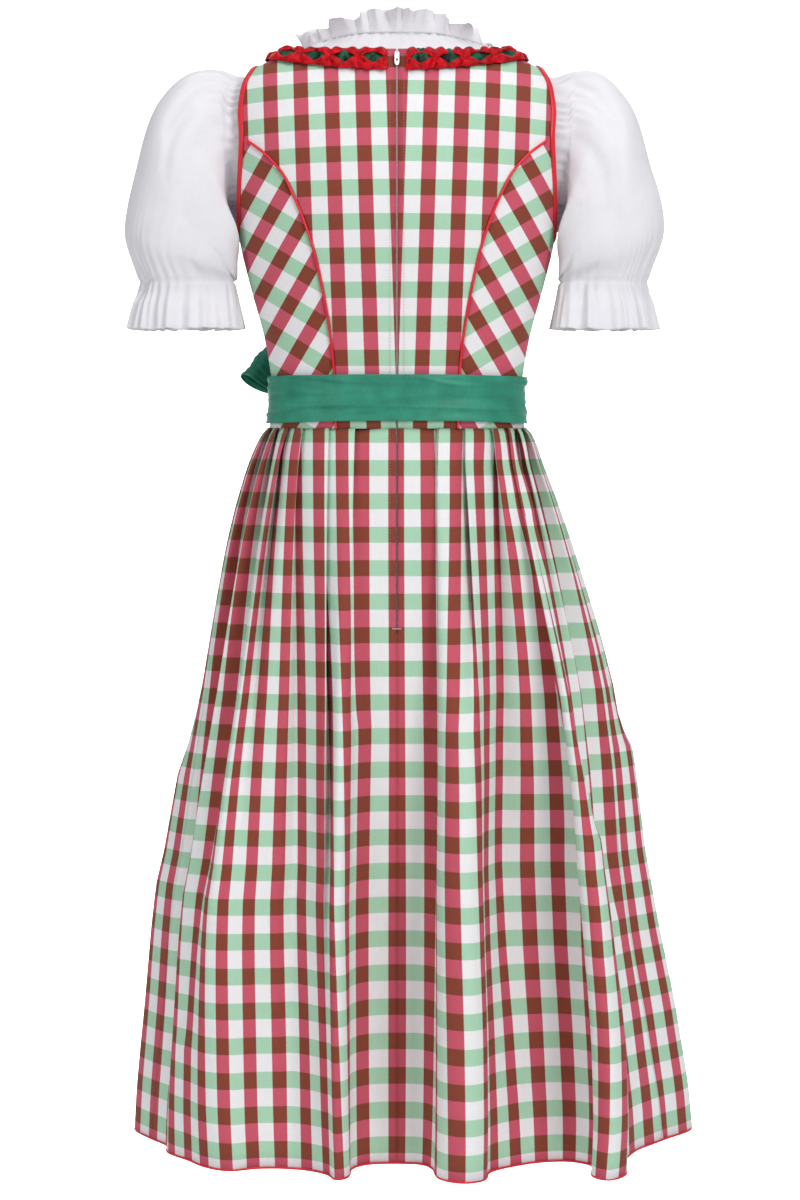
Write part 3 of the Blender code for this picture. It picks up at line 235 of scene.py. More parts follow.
class Signal:
    """A socket of a finish's nodes that can be used in sums like a number."""

    def __init__(self, finish, socket):
        self.finish, self.socket = finish, socket

    def math(self, operation, *others, **settings):
        settings["operation"] = operation
        return self.finish.node("ShaderNodeMath", settings, [self, *others])

    def __add__(self, other): return self.math("ADD", other)
    def __radd__(self, other): return self.math("ADD", other)
    def __sub__(self, other): return self.math("SUBTRACT", other)
    def __mul__(self, other): return self.math("MULTIPLY", other)
    def __rmul__(self, other): return self.math("MULTIPLY", other)
    def __truediv__(self, other): return self.math("DIVIDE", other)
    def clamp(self): return self.math("ADD", 0.0, use_clamp=True)
    def sine(self): return self.math("SINE")

    def __rsub__(self, other):
        return self.finish.node("ShaderNodeMath", {"operation": "SUBTRACT"}, [other, self])

    def over(self, edge, soft):
        """0 below an edge and 1 above it, with a soft step."""
        return ((self - edge) / soft + 0.5).clamp()


class Finish:
    """A material, built node by node onto one Principled shader."""

    def __init__(self, name, rough, sheen=0.0, specular=0.5, **sockets):
        self.material = bpy.data.materials.new(name)
        self.material.use_nodes = True
        self.tree = self.material.node_tree
        self.shader = self.tree.nodes["Principled BSDF"]
        values = {"Roughness": rough, "Sheen Weight": sheen, "Specular IOR Level": specular, **sockets}
        for socket, value in values.items():
            self.shader.inputs[socket].default_value = value

    def node(self, kind, settings=None, sockets=(), out=0):
        made = self.tree.nodes.new(kind)
        for key, value in (settings or {}).items():
            setattr(made, key, value)
        for key, value in (sockets.items() if isinstance(sockets, dict) else enumerate(sockets)):
            if isinstance(value, Signal):
                self.tree.links.new(value.socket, made.inputs[key])
            else:
                made.inputs[key].default_value = value
        return Signal(self, made.outputs[out])

    def feed(self, socket, signal):
        self.tree.links.new(signal.socket, self.shader.inputs[socket])

    def mix(self, share, a, b):
        """A colour between two colours."""
        a, b = ((*c, 1) if isinstance(c, tuple) else c for c in (a, b))
        return self.node("ShaderNodeMix", {"data_type": "RGBA"}, {0: share, 6: a, 7: b}, out=2)

    def noise(self, place, scale, detail, rough=0.5):
        return self.node("ShaderNodeTexNoise", {}, {"Vector": place, "Scale": scale, "Detail": detail,
                                                    "Roughness": rough})

    def scaled(self, place, x, y, z=1.0):
        return self.node("ShaderNodeVectorMath", {"operation": "MULTIPLY"}, [place, (x, y, z)])

    def shade(self, colour, signal):
        """A colour made lighter or darker by a number round 1."""
        return self.node("ShaderNodeVectorMath", {"operation": "SCALE"}, {0: colour, 3: signal})

    def bump(self, height, depth, strength):
        self.feed("Normal", self.node("ShaderNodeBump", {}, {"Strength": strength, "Distance": depth,
                                                             "Height": height}))

    def cut_place(self):
        """Where a point lies on the flat cloth: its place, and how far across and along."""
        place = self.node("ShaderNodeUVMap", {"uv_map": "cloth"})
        parts = self.node("ShaderNodeSeparateXYZ", {}, [place])
        return place, parts, Signal(self, parts.socket.node.outputs[1])

    def weave(self, across, along, pitch):
        """Threads this far apart that go over and under each other."""
        return (across * (2 * math.pi / pitch)).sine() * (along * (2 * math.pi / pitch)).sine()


def rgb(*screen):
    """A screen colour, 0 to 255, as the shader's own."""
    return tuple((c / 255 / 12.92) if c < 10 else ((c / 255 + 0.055) / 1.055) ** 2.4 for c in screen)


CHECK_WHITE, CHECK_GREEN = rgb(240, 239, 241), rgb(172, 214, 184)
CHECK_PINK, CHECK_BROWN = rgb(204, 88, 108), rgb(136, 66, 48)
# the stripes: how far apart they repeat, and their half width as a share of that
RED_REPEAT, RED_HALF, GREEN_REPEAT, GREEN_HALF = 0.0302, 0.2370, 0.0330, 0.2390
STRIPE_BLUR, STRIPE_WANDER = 0.016, 0.016        # as the same share
CHECK_THREADS, WHITE_THREADS = 0.00062, 0.0006   # how far apart the threads of each cotton lie


def check_cotton():
    """Woven check: red stripes down the warp, green ones across the weft, on a white ground."""
    finish = Finish("check_cotton", rough=0.82, sheen=0.04, specular=0.22)
    place, across, along = finish.cut_place()

    def stripe(way, repeat, half_wide, *stretch):
        """1 on a stripe and 0 beside it, its edge a little unsteady."""
        wander = (finish.noise(finish.scaled(place, *stretch), 1.0, 1.0) - 0.5) * STRIPE_WANDER
        return 1 - (way / repeat + wander).math("PINGPONG", 0.5).over(half_wide, STRIPE_BLUR)

    red = stripe(across, RED_REPEAT, RED_HALF, 9, 900)
    green = stripe(along, GREEN_REPEAT, GREEN_HALF, 900, 9)
    plain = finish.mix(green, CHECK_WHITE, CHECK_GREEN)
    colour = finish.mix(red, plain, finish.mix(green, CHECK_PINK, CHECK_BROWN))
    warp = finish.noise(finish.scaled(place, 1500, 45), 1.0, 2.0, 0.7)
    weft = finish.noise(finish.scaled(place, 45, 1500), 1.0, 2.0, 0.7)
    patchy = finish.noise(place, 28.0, 2.0)
    finish.feed("Base Color", finish.shade(colour, 0.86 + warp * 0.16 + weft * 0.09 + patchy * 0.03))
    creases = finish.noise(finish.scaled(place, 1, 0.55), 34.0, 3.0, 0.55)
    weave = finish.weave(across, along, CHECK_THREADS)
    finish.bump(weave * 0.10 + warp * 0.14 + weft * 0.10 + creases * 1.1, 0.0011, 0.55)
    return finish.material


checked = check_cotton()
STRIPE_LEAN = 0.033       # how fast the back's stripes close in on the seam on their way down


def straight_cut(points):
    """Flat place of a back or front panel, its grain straight down."""
    x, z = points[..., 0], points[..., 2]
    lean = 0.0041 + (z + 0.010) * STRIPE_LEAN
    droop = 0.007 * np.clip((z + 0.20) / 0.17, 0, 1) * (x / 0.14) ** 2
    rise = np.where(z > -0.03, (z + 0.03) * 0.35, 0)
    return np.stack([np.abs(x) - lean, z + droop + rise], -1)


def bias_cut(points, tilt):
    """Flat place of a side panel, its grain tilted by some degrees towards the middle of the dress."""
    x, z = np.abs(points[..., 0]), points[..., 2]
    sin, cos = math.sin(math.radians(tilt)), math.cos(math.radians(tilt))
    return np.stack([x * cos + z * sin + 0.006, z * cos - x * sin], -1)


back_seam, front_seam = on_form(flowing(BACK_PRINCESS, 34)), on_form(flowing(FRONT_PRINCESS, 34), True)
side_seam = places(SIDE, np.linspace(WAIST_Z, UNDERARM_Z, 34))


def armhole_halves(line, meet, front):
    """The armhole's edge above and below the seam that runs into it, from the top down."""
    line = on_form(flowing(line, 40), front)
    above = [p for p in line if p[1] > meet[1] + 1e-3]
    below = [p for p in line if p[1] < meet[1] - 1e-3]
    return even(np.array([*above, meet]), 14), even(np.array([meet, *below]), 18)


back_top, back_low = armhole_halves(ARMHOLE_BACK, back_seam[-1], False)
front_top, front_low = armhole_halves(ARMHOLE_FRONT, front_seam[-1], True)


def shifted(line, distance):
    """A line on the form, moved sideways by a real distance."""
    reach = np.linalg.norm(form_surface(line[:, 0], line[:, 1])[:, :2], axis=1)
    return np.stack([line[:, 0] + distance / reach, line[:, 1]], 1)


def back_neck(first, count):
    """The neck edge across the back, from an angle beside the zip to the shoulder."""
    shoulder = form_angle(NECK_SHOULDER[0] - 1e-4, NECK_SHOULDER[1])
    turns = np.linspace(first, shoulder, count)
    return places(turns, NECK_BACK_Z + (NECK_SHOULDER[1] - NECK_BACK_Z) * (turns / shoulder) ** 2)


def side_edge(front):
    """The angle of a front's or a back's edge at the shoulder and side."""
    return SIDE + (SIDE_GAP if front else -SIDE_GAP)


def side_panel(left, right, top, count):
    """A panel between two seams, with a stretch of armhole above it."""
    top = even(top, count)
    top[0], top[-1] = left[-1], right[-1]
    return panel(places(np.linspace(left[0, 0], right[0, 0], count), WAIST_Z), top, left, right, 0.0)


def bodice_panels():
    """Grids of (angle, height) for the wearer's left: back, side back, side front, and the whole front."""
    outer = np.concatenate([shifted(back_seam, -SEAM_GAP), back_top[::-1][1:]])
    heights = np.linspace(WAIST_Z, NECK_BACK_Z, len(outer))
    zip_edge = np.array([(form_angle(ZIP_SLIT / 2, z), z) for z in heights])
    slope = places(side_edge(False), np.linspace(NECK_SHOULDER[1], SHOULDER_TIP[1], 9)[1:])
    top = np.concatenate([back_neck(zip_edge[-1, 0], 22), slope])
    outer[-1] = top[-1]
    bottom = places(np.linspace(zip_edge[0, 0], outer[0, 0], len(top)), WAIST_Z)
    back = panel(bottom, top, zip_edge, outer, 0.60)
    side_back = side_panel(shifted(back_seam, SEAM_GAP), shifted(side_seam, -SEAM_GAP), back_low, 22)
    side_front = side_panel(shifted(side_seam, SEAM_GAP), shifted(front_seam, -SEAM_GAP), front_low[::-1], 26)

    left = np.concatenate([shifted(front_seam, SEAM_GAP), front_top[::-1][1:]])
    left[-1] = (side_edge(True), SHOULDER_TIP[1])
    slope = places(side_edge(True), np.linspace(SHOULDER_TIP[1], NECK_SHOULDER[1], 9)[:-1])
    neck = on_form(flowing(FRONT_NECK, 22)[::-1], True)
    neck[0] = (side_edge(True), NECK_SHOULDER[1])
    top = np.concatenate([slope, neck])
    top[-1, 0] = math.pi
    bottom = places(np.linspace(left[0, 0], math.pi, len(top)), WAIST_Z)
    seam_rows = len(front_seam)
    heights = np.interp(np.arange(len(left)), (0, seam_rows - 1, len(left) - 1),
                        (WAIST_Z, NECK_FRONT_Z - 0.014, NECK_FRONT_Z))
    half = panel(bottom, top, left, places(math.pi, heights), seam_rows / len(left))
    return back, side_back, side_front, np.concatenate([half, other_side(half[:, ::-1][:, 1:])], axis=1)


back_panel, side_back_panel, side_front_panel, front_panel = bodice_panels()
for hand, way in HANDS:
    # each panel's grid, its flat area and the tilt of its grain
    for part, grid, area, tilt in (("back", back_panel, 0.0395, 0),
                                   ("side_back", side_back_panel, 0.0275, 31),
                                   ("side_front", side_front_panel, 0.0315, 28)):
        points = form(grid[..., 0], grid[..., 1])
        cut = (bias_cut(points, tilt) if tilt else straight_cut(points)) * (way, 1)
        flat = tuple(float(s) for s in np.ptp(cut.reshape(-1, 2), axis=0) + 0.002)
        cloth_piece(f"bodice_{part}_{hand}_cotton", f"bodice_{part}_{hand}", "check_cotton", checked,
                    points * (way, 1, 1), cut, flat, "stretched", area=area, centre=(0, 0, -0.2))
points = form(front_panel[..., 0], front_panel[..., 1])
cloth_piece("bodice_front_cotton", "bodice_front_centre", "check_cotton", checked,
            points, straight_cut(points), (0.31, 0.38), "stretched", area=0.055, centre=(0, 0, -0.2))

# ==== PIPING AND BINDING ====
# A round cord covered in red satin is caught in each princess seam, and each armhole is bound with
# a folded strip of the same satin. Both are turned and stitched down on the inside.
PIPING_THICK, BINDING_WIDE, BINDING_POINTS = 0.0026, 0.0062, 128


def satin(name, dark, light, rough=0.34, specular=0.45, patches=45.0, shade_contrast=0.75):
    """Satin: a smooth warp face, fine rib across it, and painted highlights and painted shade in random
    patches of its colour.
    """
    finish = Finish(name, rough=rough, specular=specular)
    place = finish.node("ShaderNodeTexCoord", out=3)
    streak = finish.noise(finish.scaled(place, 1, 1, 0.25), 900.0, 2.0)
    patchy = finish.noise(place, patches, 3.0)
    # painted highlights and painted shade: the random patches move the colour between the dark and the light;
    # the streaks are the thread's own
    colour = finish.mix((streak * 0.35 - 0.175 + (patchy - 0.5) * shade_contrast + 0.5).clamp(), dark, light)
    finish.feed("Base Color", colour)
    finish.feed("Roughness", rough - 0.05 + patchy * 0.16)
    finish.bump(streak * 0.2 + finish.noise(place, 160.0, 3.0), 0.0007, 0.45)
    return finish.material


# its dark and light reds: the satin's own red, spread into painted shade and painted highlights
red_satin = satin("red_satin", rgb(196, 16, 34), rgb(238, 40, 58))


def group(name, **inputs):
    """An empty Geometry Nodes tree with named inputs, and a shorthand for adding nodes to it."""
    tree = bpy.data.node_groups.new(name, "GeometryNodeTree")
    tree.interface.new_socket("Geometry", in_out="OUTPUT", socket_type="NodeSocketGeometry")
    for label, kind in {"Geometry": "Geometry", **inputs, "Material": "Material"}.items():
        tree.interface.new_socket(label, in_out="INPUT", socket_type="NodeSocket" + kind)
    start, end = tree.nodes.new("NodeGroupInput"), tree.nodes.new("NodeGroupOutput")

    def add(kind, links=(), **settings):
        made = tree.nodes.new(kind)
        for key, value in settings.items():
            setattr(made, key, value)
        for socket, value in dict(links).items():
            if isinstance(value, bpy.types.NodeSocket):
                tree.links.new(value, made.inputs[socket])
            else:
                made.inputs[socket].default_value = value
        return made

    return tree, start, end, add


def finish_tree(tree, start, end, add, geometry):
    real = add("GeometryNodeRealizeInstances", {0: geometry})
    painted = add("GeometryNodeSetMaterial", {0: real.outputs[0], "Material": start.outputs["Material"]})
    tree.links.new(painted.outputs[0], end.inputs[0])
    return tree


def covered_cord():
    """A round cord along the edges of a mesh."""
    tree, start, end, add = group("covered cord", Thickness="Float", Sides="Int")
    curve = add("GeometryNodeMeshToCurve", {0: start.outputs[0]})
    half = add("ShaderNodeMath", {0: start.outputs["Thickness"], 1: 0.5}, operation="MULTIPLY")
    sides = start.outputs["Sides"]
    profile = add("GeometryNodeCurvePrimitiveCircle", {"Resolution": sides, "Radius": half.outputs[0]})
    tube = add("GeometryNodeCurveToMesh", {0: curve.outputs[0], 1: profile.outputs[0], "Fill Caps": True})
    return finish_tree(tree, start, end, add, tube.outputs[0])


def bead_row(name, along, sizes, **inputs):
    """Small rounded beads along the edges of a mesh, a fixed step apart, one axis of each along the line."""
    tree, start, end, add = group(name, **inputs)
    curve = add("GeometryNodeMeshToCurve", {0: start.outputs[0]})
    apart = {0: curve.outputs[0], "Length": start.outputs["Step"]}
    spots = add("GeometryNodeCurveToPoints", apart, mode="LENGTH")
    turn = add("FunctionNodeAlignRotationToVector", {"Vector": spots.outputs["Tangent"]}, axis=along)
    ball = add("GeometryNodeMeshUVSphere", {"Segments": 6, "Rings": 4, "Radius": 0.5})
    size = add("ShaderNodeCombineXYZ", {i: start.outputs[label] for i, label in enumerate(sizes)})
    bead = add("GeometryNodeTransform", {0: ball.outputs[0], "Scale": size.outputs[0]})
    row = add("GeometryNodeInstanceOnPoints", {0: spots.outputs[0], "Instance": bead.outputs[0],
                                               "Rotation": turn.outputs[0]})
    return finish_tree(tree, start, end, add, row.outputs[0])


def facing_out(mesh):
    """Turns the faces of a closed mesh outwards."""
    shape = bmesh.new()
    shape.from_mesh(mesh)
    bmesh.ops.recalc_face_normals(shape, faces=shape.faces)
    shape.to_mesh(mesh)
    shape.free()


def grown(name, tree, lines, finish, closed=False, **inputs):
    """The mesh that a tree makes from one or more lines of points, as a plain piece."""
    points, edges = [], []
    for line in lines:
        first = len(points)
        points += [tuple(p) for p in line]
        edges += [(first + i, first + i + 1) for i in range(len(line) - 1)]
        if closed:
            edges.append((len(points) - 1, first))
    mesh = bpy.data.meshes.new(name)
    mesh.from_pydata(points, edges, [])
    guide = in_scene(name + " line", mesh)
    modifier = guide.modifiers.new("tree", "NODES")
    modifier.node_group = tree
    inputs["Material"] = finish
    for item in tree.interface.items_tree:
        if item.in_out == "INPUT" and item.name in inputs:
            modifier[item.identifier] = inputs[item.name]
    bpy.context.view_layer.update()
    made = bpy.data.meshes.new_from_object(guide.evaluated_get(bpy.context.evaluated_depsgraph_get()))
    bpy.data.objects.remove(guide)
    facing_out(made)
    made.polygons.foreach_set("use_smooth", [True] * len(made.polygons))
    return in_scene(name, made)


cord_tree = covered_cord()
stitch_tree = bead_row("stitch row", "X", ("Length", "Thickness", "Thickness"),
                       Step="Float", Length="Float", Thickness="Float")


def stitches(name, slot, finish, lines, step, long, thick, closed=False):
    """Rows of short plump stitches that hold a seam or a hem."""
    placed(grown(name, stitch_tree, lines, finish, closed, Step=step, Length=long, Thickness=thick), slot)


for place, seam in (("back", back_seam), ("front", front_seam)):
    for hand, way in HANDS:
        line = form(seam[:, 0], seam[:, 1], 0.0012)[:-1] * (way, 1, 1)
        piece = grown(f"piping_{place}_{hand}_cord", cord_tree, [even(line, 70)], red_satin,
                      Thickness=PIPING_THICK, Sides=10)
        placed(piece, "red_satin", f"piping_{place}_{hand}")

armhole = np.concatenate([back_top, back_low[1:], front_low[::-1][1:], front_top[::-1][1:]])
armhole_line = form_surface(armhole[:, 0], armhole[:, 1])
armhole_out = form_normal(armhole[:, 0], armhole[:, 1])


def edge_directions(line, outward):
    """At each point of a closed edge, the direction into the cloth."""
    along = unit(np.roll(line, -1, 0) - np.roll(line, 1, 0))
    into = unit(np.cross(along, outward))
    return into * np.sign(np.sum(into * (line - line.mean(0)), axis=1).mean())


def smoothed(line, times=3):
    """A closed line, its small kinks taken out."""
    line = np.array(line, float)
    for _ in range(times):
        line = (np.roll(line, 1, 0) + 2 * line + np.roll(line, -1, 0)) / 4
    return line


def closed_even(line, count):
    """The same closed line with this many points, evenly apart."""
    return even(np.concatenate([line, line[:1]]), count + 1)[:-1]


armhole_loop = smoothed(closed_even(armhole_line, BINDING_POINTS))
out_at = unit(smoothed(closed_even(armhole_out, BINDING_POINTS)))
into_cloth = smoothed(edge_directions(armhole_loop, out_at), 6)
# the folded strip in section: distance into the cloth, distance out of it
SECTION = ((BINDING_WIDE, 0.0004), (BINDING_WIDE - 0.0003, 0.0015), (BINDING_WIDE * 0.5, 0.0021),
           (0.0006, 0.0018), (-0.0009, 0.0006), (-0.0011, -0.0006), (0.0002, -0.0014), (0.0048, -0.0012),
           (0.0048, -0.0009), (0.0004, -0.0008), (-0.0001, 0.0000), (0.0006, 0.0005))
# a little fuller at the fold
ring = np.stack([armhole_loop + into_cloth * a + out_at * (b + 0.0006 * math.exp(-a * a / 4e-6))
                 for a, b in SECTION], 1)
count, sides, _ = ring.shape


def ring_faces(rings, sides, closed):
    """Faces between rings of points, the last ring joined to the first if closed."""
    return [(r * sides + s, r * sides + (s + 1) % sides,
             (r + 1) % rings * sides + (s + 1) % sides, (r + 1) % rings * sides + s)
            for r in range(rings if closed else rings - 1) for s in range(sides)]


for hand, way in HANDS:
    piece = mesh_piece(f"binding_{hand}_satin", ring * (way, 1, 1), ring_faces(count, sides, True), red_satin)
    facing_out(piece.data)
    placed(piece, "red_satin", f"binding_{hand}")
    line = armhole_loop + into_cloth * (BINDING_WIDE - 0.0013) + out_at * 0.0017
    stitches(f"binding_{hand}_stitches", "red_satin", red_satin, [line * (way, 1, 1)],
             0.0026, 0.0019, 0.0005, closed=True)

# ==== SKIRT ====
# Checked cotton, about 1.9 m round the hem, laid in knife pleats that all face the centre back and
# are sewn into the waist seam. They open into deep folds towards the hem. It has a seam at the
# centre back, which takes the zip, and one at each side.
HEM_Z, ZIP_END_Z = -1.0655, -0.566
# each pleat from the centre back outwards: its place round the waist, cloth used at the waist and at the hem
PLEATS = {
    "left": ((0.0400, 0.046, 0.070), (0.0655, 0.108, 0.121), (0.0940, 0.173, 0.185),
             (0.1115, 0.240, 0.272), (0.1275, 0.300, 0.341), (0.1440, 0.360, 0.390)),
    "right": ((0.0380, 0.069, 0.055), (0.0655, 0.133, 0.130), (0.0945, 0.203, 0.215),
              (0.1145, 0.300, 0.322), (0.1300, 0.400, 0.440), (0.1450, 0.470, 0.500)),
}
# the hem's folds from the centre back outwards: along the cloth, across, back
HEM_FOLDS = {
    "left": ((0.0000, 0.0000, 0.168), (0.0302, 0.0280, 0.172), (0.0560, 0.0440, 0.194),
             (0.0720, 0.0450, 0.220), (0.0906, 0.0560, 0.234), (0.1208, 0.0660, 0.212),
             (0.1510, 0.0845, 0.196), (0.1812, 0.1100, 0.188), (0.2114, 0.1355, 0.189),
             (0.2416, 0.1600, 0.199), (0.2718, 0.1840, 0.182), (0.3022, 0.2000, 0.156),
             (0.3410, 0.2225, 0.122), (0.3780, 0.2275, 0.084), (0.3926, 0.2410, 0.060),
             (0.4250, 0.2630, 0.000)),
    "right": ((0.0000, 0.0000, 0.168), (0.0302, 0.0260, 0.174), (0.0500, 0.0350, 0.196),
              (0.0640, 0.0375, 0.224), (0.0906, 0.0640, 0.246), (0.1120, 0.0835, 0.234),
              (0.1380, 0.0860, 0.208), (0.1812, 0.1135, 0.178), (0.2114, 0.1385, 0.163),
              (0.2416, 0.1660, 0.160), (0.2640, 0.1830, 0.172), (0.3250, 0.1860, 0.224),
              (0.3470, 0.1990, 0.236), (0.3690, 0.2140, 0.220), (0.4370, 0.2200, 0.150),
              (0.4530, 0.2300, 0.118), (0.4832, 0.2480, 0.086), (0.5134, 0.2680, 0.052),
              (0.5436, 0.2910, 0.014), (0.5500, 0.2960, 0.000)),
}
HALF_WAIST, SIDE_WAIST = 0.3480, 0.1740
HEM_CENTRE, HEM_HALF_WIDTH, HEM_DEPTH_BACK, HEM_DEPTH_FRONT = -0.0165, 0.2795, 0.200, 0.205
FRONT_PLEATS, FRONT_FOLDS, FRONT_FOLD_DEPTH = 6, 7, 0.016
FLARE, PLEAT_DEPTH, FOLD_CLOTH = 0.68, 0.0085, 0.078
DEEPEST_LAP, DEEPEST_PLEAT = 0.016, 0.025
SKIRT_LONG = 0.716
# the sides stand away a little more below the hips: share of the drop, on the left, on the right
SIDE_SWELL = np.array([(0.00, 0.000, 0.000), (0.05, 0.003, -0.004), (0.11, 0.005, -0.002),
                       (0.17, 0.006, 0.001), (0.31, 0.006, 0.009), (0.37, 0.006, 0.011),
                       (0.48, 0.008, 0.009), (0.60, 0.010, 0.003), (0.65, 0.013, 0.003),
                       (0.71, 0.012, 0.003), (0.82, 0.008, 0.006), (0.94, 0.005, 0.006),
                       (1.00, 0.002, 0.003)])

WAIST_ARC = 0.1300, 0.0880, 0.0940        # half width, depth to the back, depth to the front
turn = np.linspace(0, math.pi, 400)
waist_depth = np.where(turn < math.pi / 2, WAIST_ARC[1], WAIST_ARC[2])
waist_plan = np.stack([WAIST_ARC[0] * signed_power(np.sin(turn), FORM_ROUND),
                       waist_depth * signed_power(np.cos(turn), FORM_ROUND)], 1)
waist_run = run_length(waist_plan)


def waist_point(arc):
    at = np.clip(np.asarray(arc) / HALF_WAIST, 0, 1) * waist_run[-1]
    return np.stack([np.interp(at, waist_run, across) for across in waist_plan.T], -1)


def hem_ring(angle, centre):
    """The plain ring that the hem's folds stand out from."""
    depth = np.where(np.cos(angle) > 0, HEM_DEPTH_BACK, HEM_DEPTH_FRONT)
    return np.stack([centre + HEM_HALF_WIDTH * np.sin(angle), depth * np.cos(angle)], -1)


def share_down(z):
    """The share of the skirt's drop, 0 at the waist and above it, 1 at the hem."""
    return np.maximum(0.0, (WAIST_Z - z) / (WAIST_Z - HEM_Z))


def side_swell(v, left):
    """How much further across the plan reaches at this share of the drop, as a factor."""
    hem_side = HEM_HALF_WIDTH + np.where(left, 1, -1) * HEM_CENTRE
    side = (1 - v ** FLARE) * WAIST_ARC[0] + v ** FLARE * hem_side
    extra = np.where(left, *(np.interp(v, SIDE_SWELL[:, 0], SIDE_SWELL[:, k]) for k in (1, 2)))
    return 1 + extra / side


class HalfSkirt:
    """One half of the skirt in plan, from the centre back round the side to the centre front."""

    def __init__(self, hand):
        self.way = 1 if hand == "left" else -1
        hem, pleats = np.array(HEM_FOLDS[hand]), np.array(PLEATS[hand])
        self.centre = HEM_CENTRE * self.way
        used, plan = list(hem[:, 0]), [tuple(p) for p in hem[:, 1:]]
        first = math.atan2(plan[-1][0] - self.centre, 0.0)
        steps = 4 * FRONT_FOLDS
        for i in range(1, steps + 1):
            angle = first + (math.pi - first) * i / steps
            place = hem_ring(angle, self.centre)
            inward = place - (self.centre, 0)
            place = place - unit(inward) * FRONT_FOLD_DEPTH * (1 - math.cos(math.pi * i / 2)) / 2
            used.append(used[-1] + math.dist(plan[-1], place) * 1.03)
            plan.append(tuple(place))
        plan[-1] = (self.centre, plan[-1][1])
        plan = np.array(plan)
        self.fine = np.linspace(0, used[-1], 900)
        self.fine_plan = np.stack([eased(used, plan[:, k], self.fine) for k in (0, 1)], 1)
        arcs = np.linspace(SIDE_WAIST + 0.006, HALF_WAIST - 0.026, FRONT_PLEATS)
        front = np.linspace(hem[-1, 0] + 0.035, used[-1] - 0.045, FRONT_PLEATS)
        front = np.stack([arcs, front, front], 1)
        self.folds = np.concatenate([[(0, 0, 0)], pleats, front, [(HALF_WAIST, used[-1], used[-1])]])

    def hull(self, arc, used, v):
        """The curve in plan on which the folds' edges lie, v from waist to hem."""
        hem = np.stack([np.interp(used, self.fine, self.fine_plan[:, k]) for k in (0, 1)], -1)
        depth = np.where(hem[..., 1] > 0, HEM_DEPTH_BACK, HEM_DEPTH_FRONT)
        angle = np.arctan2((hem[..., 0] - self.centre) / HEM_HALF_WIDTH, hem[..., 1] / depth)
        plain = hem_ring(angle, self.centre)
        grown_out = v * (1 + 0.6 * math.sin(math.pi * v)) * (hem - plain)
        plan = (1 - v ** FLARE) * waist_point(arc) + v ** FLARE * plain + grown_out
        return plan * np.array([float(side_swell(v, self.way > 0)), 1.0])

    def section(self, v, shares):
        """Plan points and cloth used at one height.

        shares run 0 at a fold's edge, 1 at its hidden fold, 2 at the next edge.
        """
        points, used = [], []
        for k in range(len(self.folds) - 1):
            a, b = self.folds[k], self.folds[k + 1]
            from_a, to_b = a[1] + (a[2] - a[1]) * v, b[1] + (b[2] - b[1]) * v
            part = np.linspace(0, 1, 17)
            line = self.hull(a[0] + (b[0] - a[0]) * part, a[2] + (b[2] - a[2]) * part, v)
            run = run_length(line)
            base, waist_base = run[-1], np.linalg.norm(waist_point(b[0]) - waist_point(a[0]))
            tangent = unit(line[-1] - line[-3])
            inward = unit(np.array([line[-1][1] - line[0][1], line[0][0] - line[-1][0]]))
            reach, depth = base * 0.6, 0.0
            if k < len(self.folds) - 2:
                folded = max(min(b[1] - a[1], FOLD_CLOTH), waist_base * 1.35)
                spread = max(folded + (b[2] - a[2] - folded) * v, folded)
                slack = math.sqrt(max(spread ** 2 - base ** 2, 0.0))
                waist_slack = math.sqrt(folded ** 2 - waist_base ** 2)
                cosine = min(math.sqrt(1 - (2 * PLEAT_DEPTH / waist_slack) ** 2) * waist_base / base, 0.98)
                reach = min(base / 2 + spread / 2 * cosine, base + DEEPEST_LAP * (1 - v))
                depth = min(slack / 2 * math.sqrt(1 - cosine ** 2), DEEPEST_PLEAT) * (1 - v ** 4)
            face, flank = math.hypot(reach, depth), math.hypot(reach - base, depth)
            hidden = face / (face + flank)
            share = np.array(shares[k])
            step = np.where(share <= 1, share, share - 1)
            along = np.where(share <= 1, reach * step, reach + (base - reach) * step)
            down = np.where(share <= 1, depth * step ** 1.8, depth * (1 - step))
            taken = np.where(share <= 1, hidden * step, hidden + (1 - hidden) * step)
            place = np.stack([np.interp(along, run, line[:, 0]), np.interp(along, run, line[:, 1])], 1)
            place = place + np.maximum(along - base, 0)[:, None] * tangent + down[:, None] * inward
            points.append(place)
            used.append(from_a + (to_b - from_a) * taken)
        return np.concatenate(points), np.concatenate(used)


SKIRT_ROWS, FACE_COLUMNS, FLANK_COLUMNS = 52, 13, 7
face = np.linspace(0.0, 0.95, FACE_COLUMNS)
flank = np.linspace(1.05, 1.90, FLANK_COLUMNS)
halves = {}
for hand in ("left", "right"):
    half = HalfSkirt(hand)
    shares = [np.concatenate([face, flank])] * (len(half.folds) - 1)
    shares[-1] = np.concatenate([face, [1.2, 1.5, 2.0]])
    grid, cut = [], []
    for level in np.linspace(0, 1, SKIRT_ROWS) ** 1.25:
        plan, used = half.section(level, shares)
        # round the folds off, more where they hang free
        even_used = np.linspace(0, used[-1], 6 * len(used))
        spread = np.stack([np.interp(even_used, used, plan[:, k]) for k in (0, 1)], 1)
        for _ in range(int(3 + 60 * level ** 1.3)):
            spread[1:-1] = (spread[:-2] + 2 * spread[1:-1] + spread[2:]) / 4
        plan = np.stack([np.interp(used, even_used, spread[:, k]) for k in (0, 1)], 1)
        # the hem dips where the folds stand furthest back
        dip = level ** 1.6 * (0.004 + 0.14 * np.maximum(plan[:, 1], 0) ** 2)
        z = WAIST_Z + (HEM_Z - WAIST_Z) * level - dip
        plan[0, 0] = ZIP_SLIT / 2 if z[0] > ZIP_END_Z else 0.0
        plan[-1, 0] = HEM_CENTRE * half.way * level ** FLARE
        grid.append(np.column_stack([plan * (half.way, 1), z]))
        cut.append(np.column_stack([used * half.way, np.full(len(plan), -level * SKIRT_LONG)]))
    side = 6 * (FACE_COLUMNS + FLANK_COLUMNS) + 2
    halves[hand] = np.array(grid), np.array(cut), side

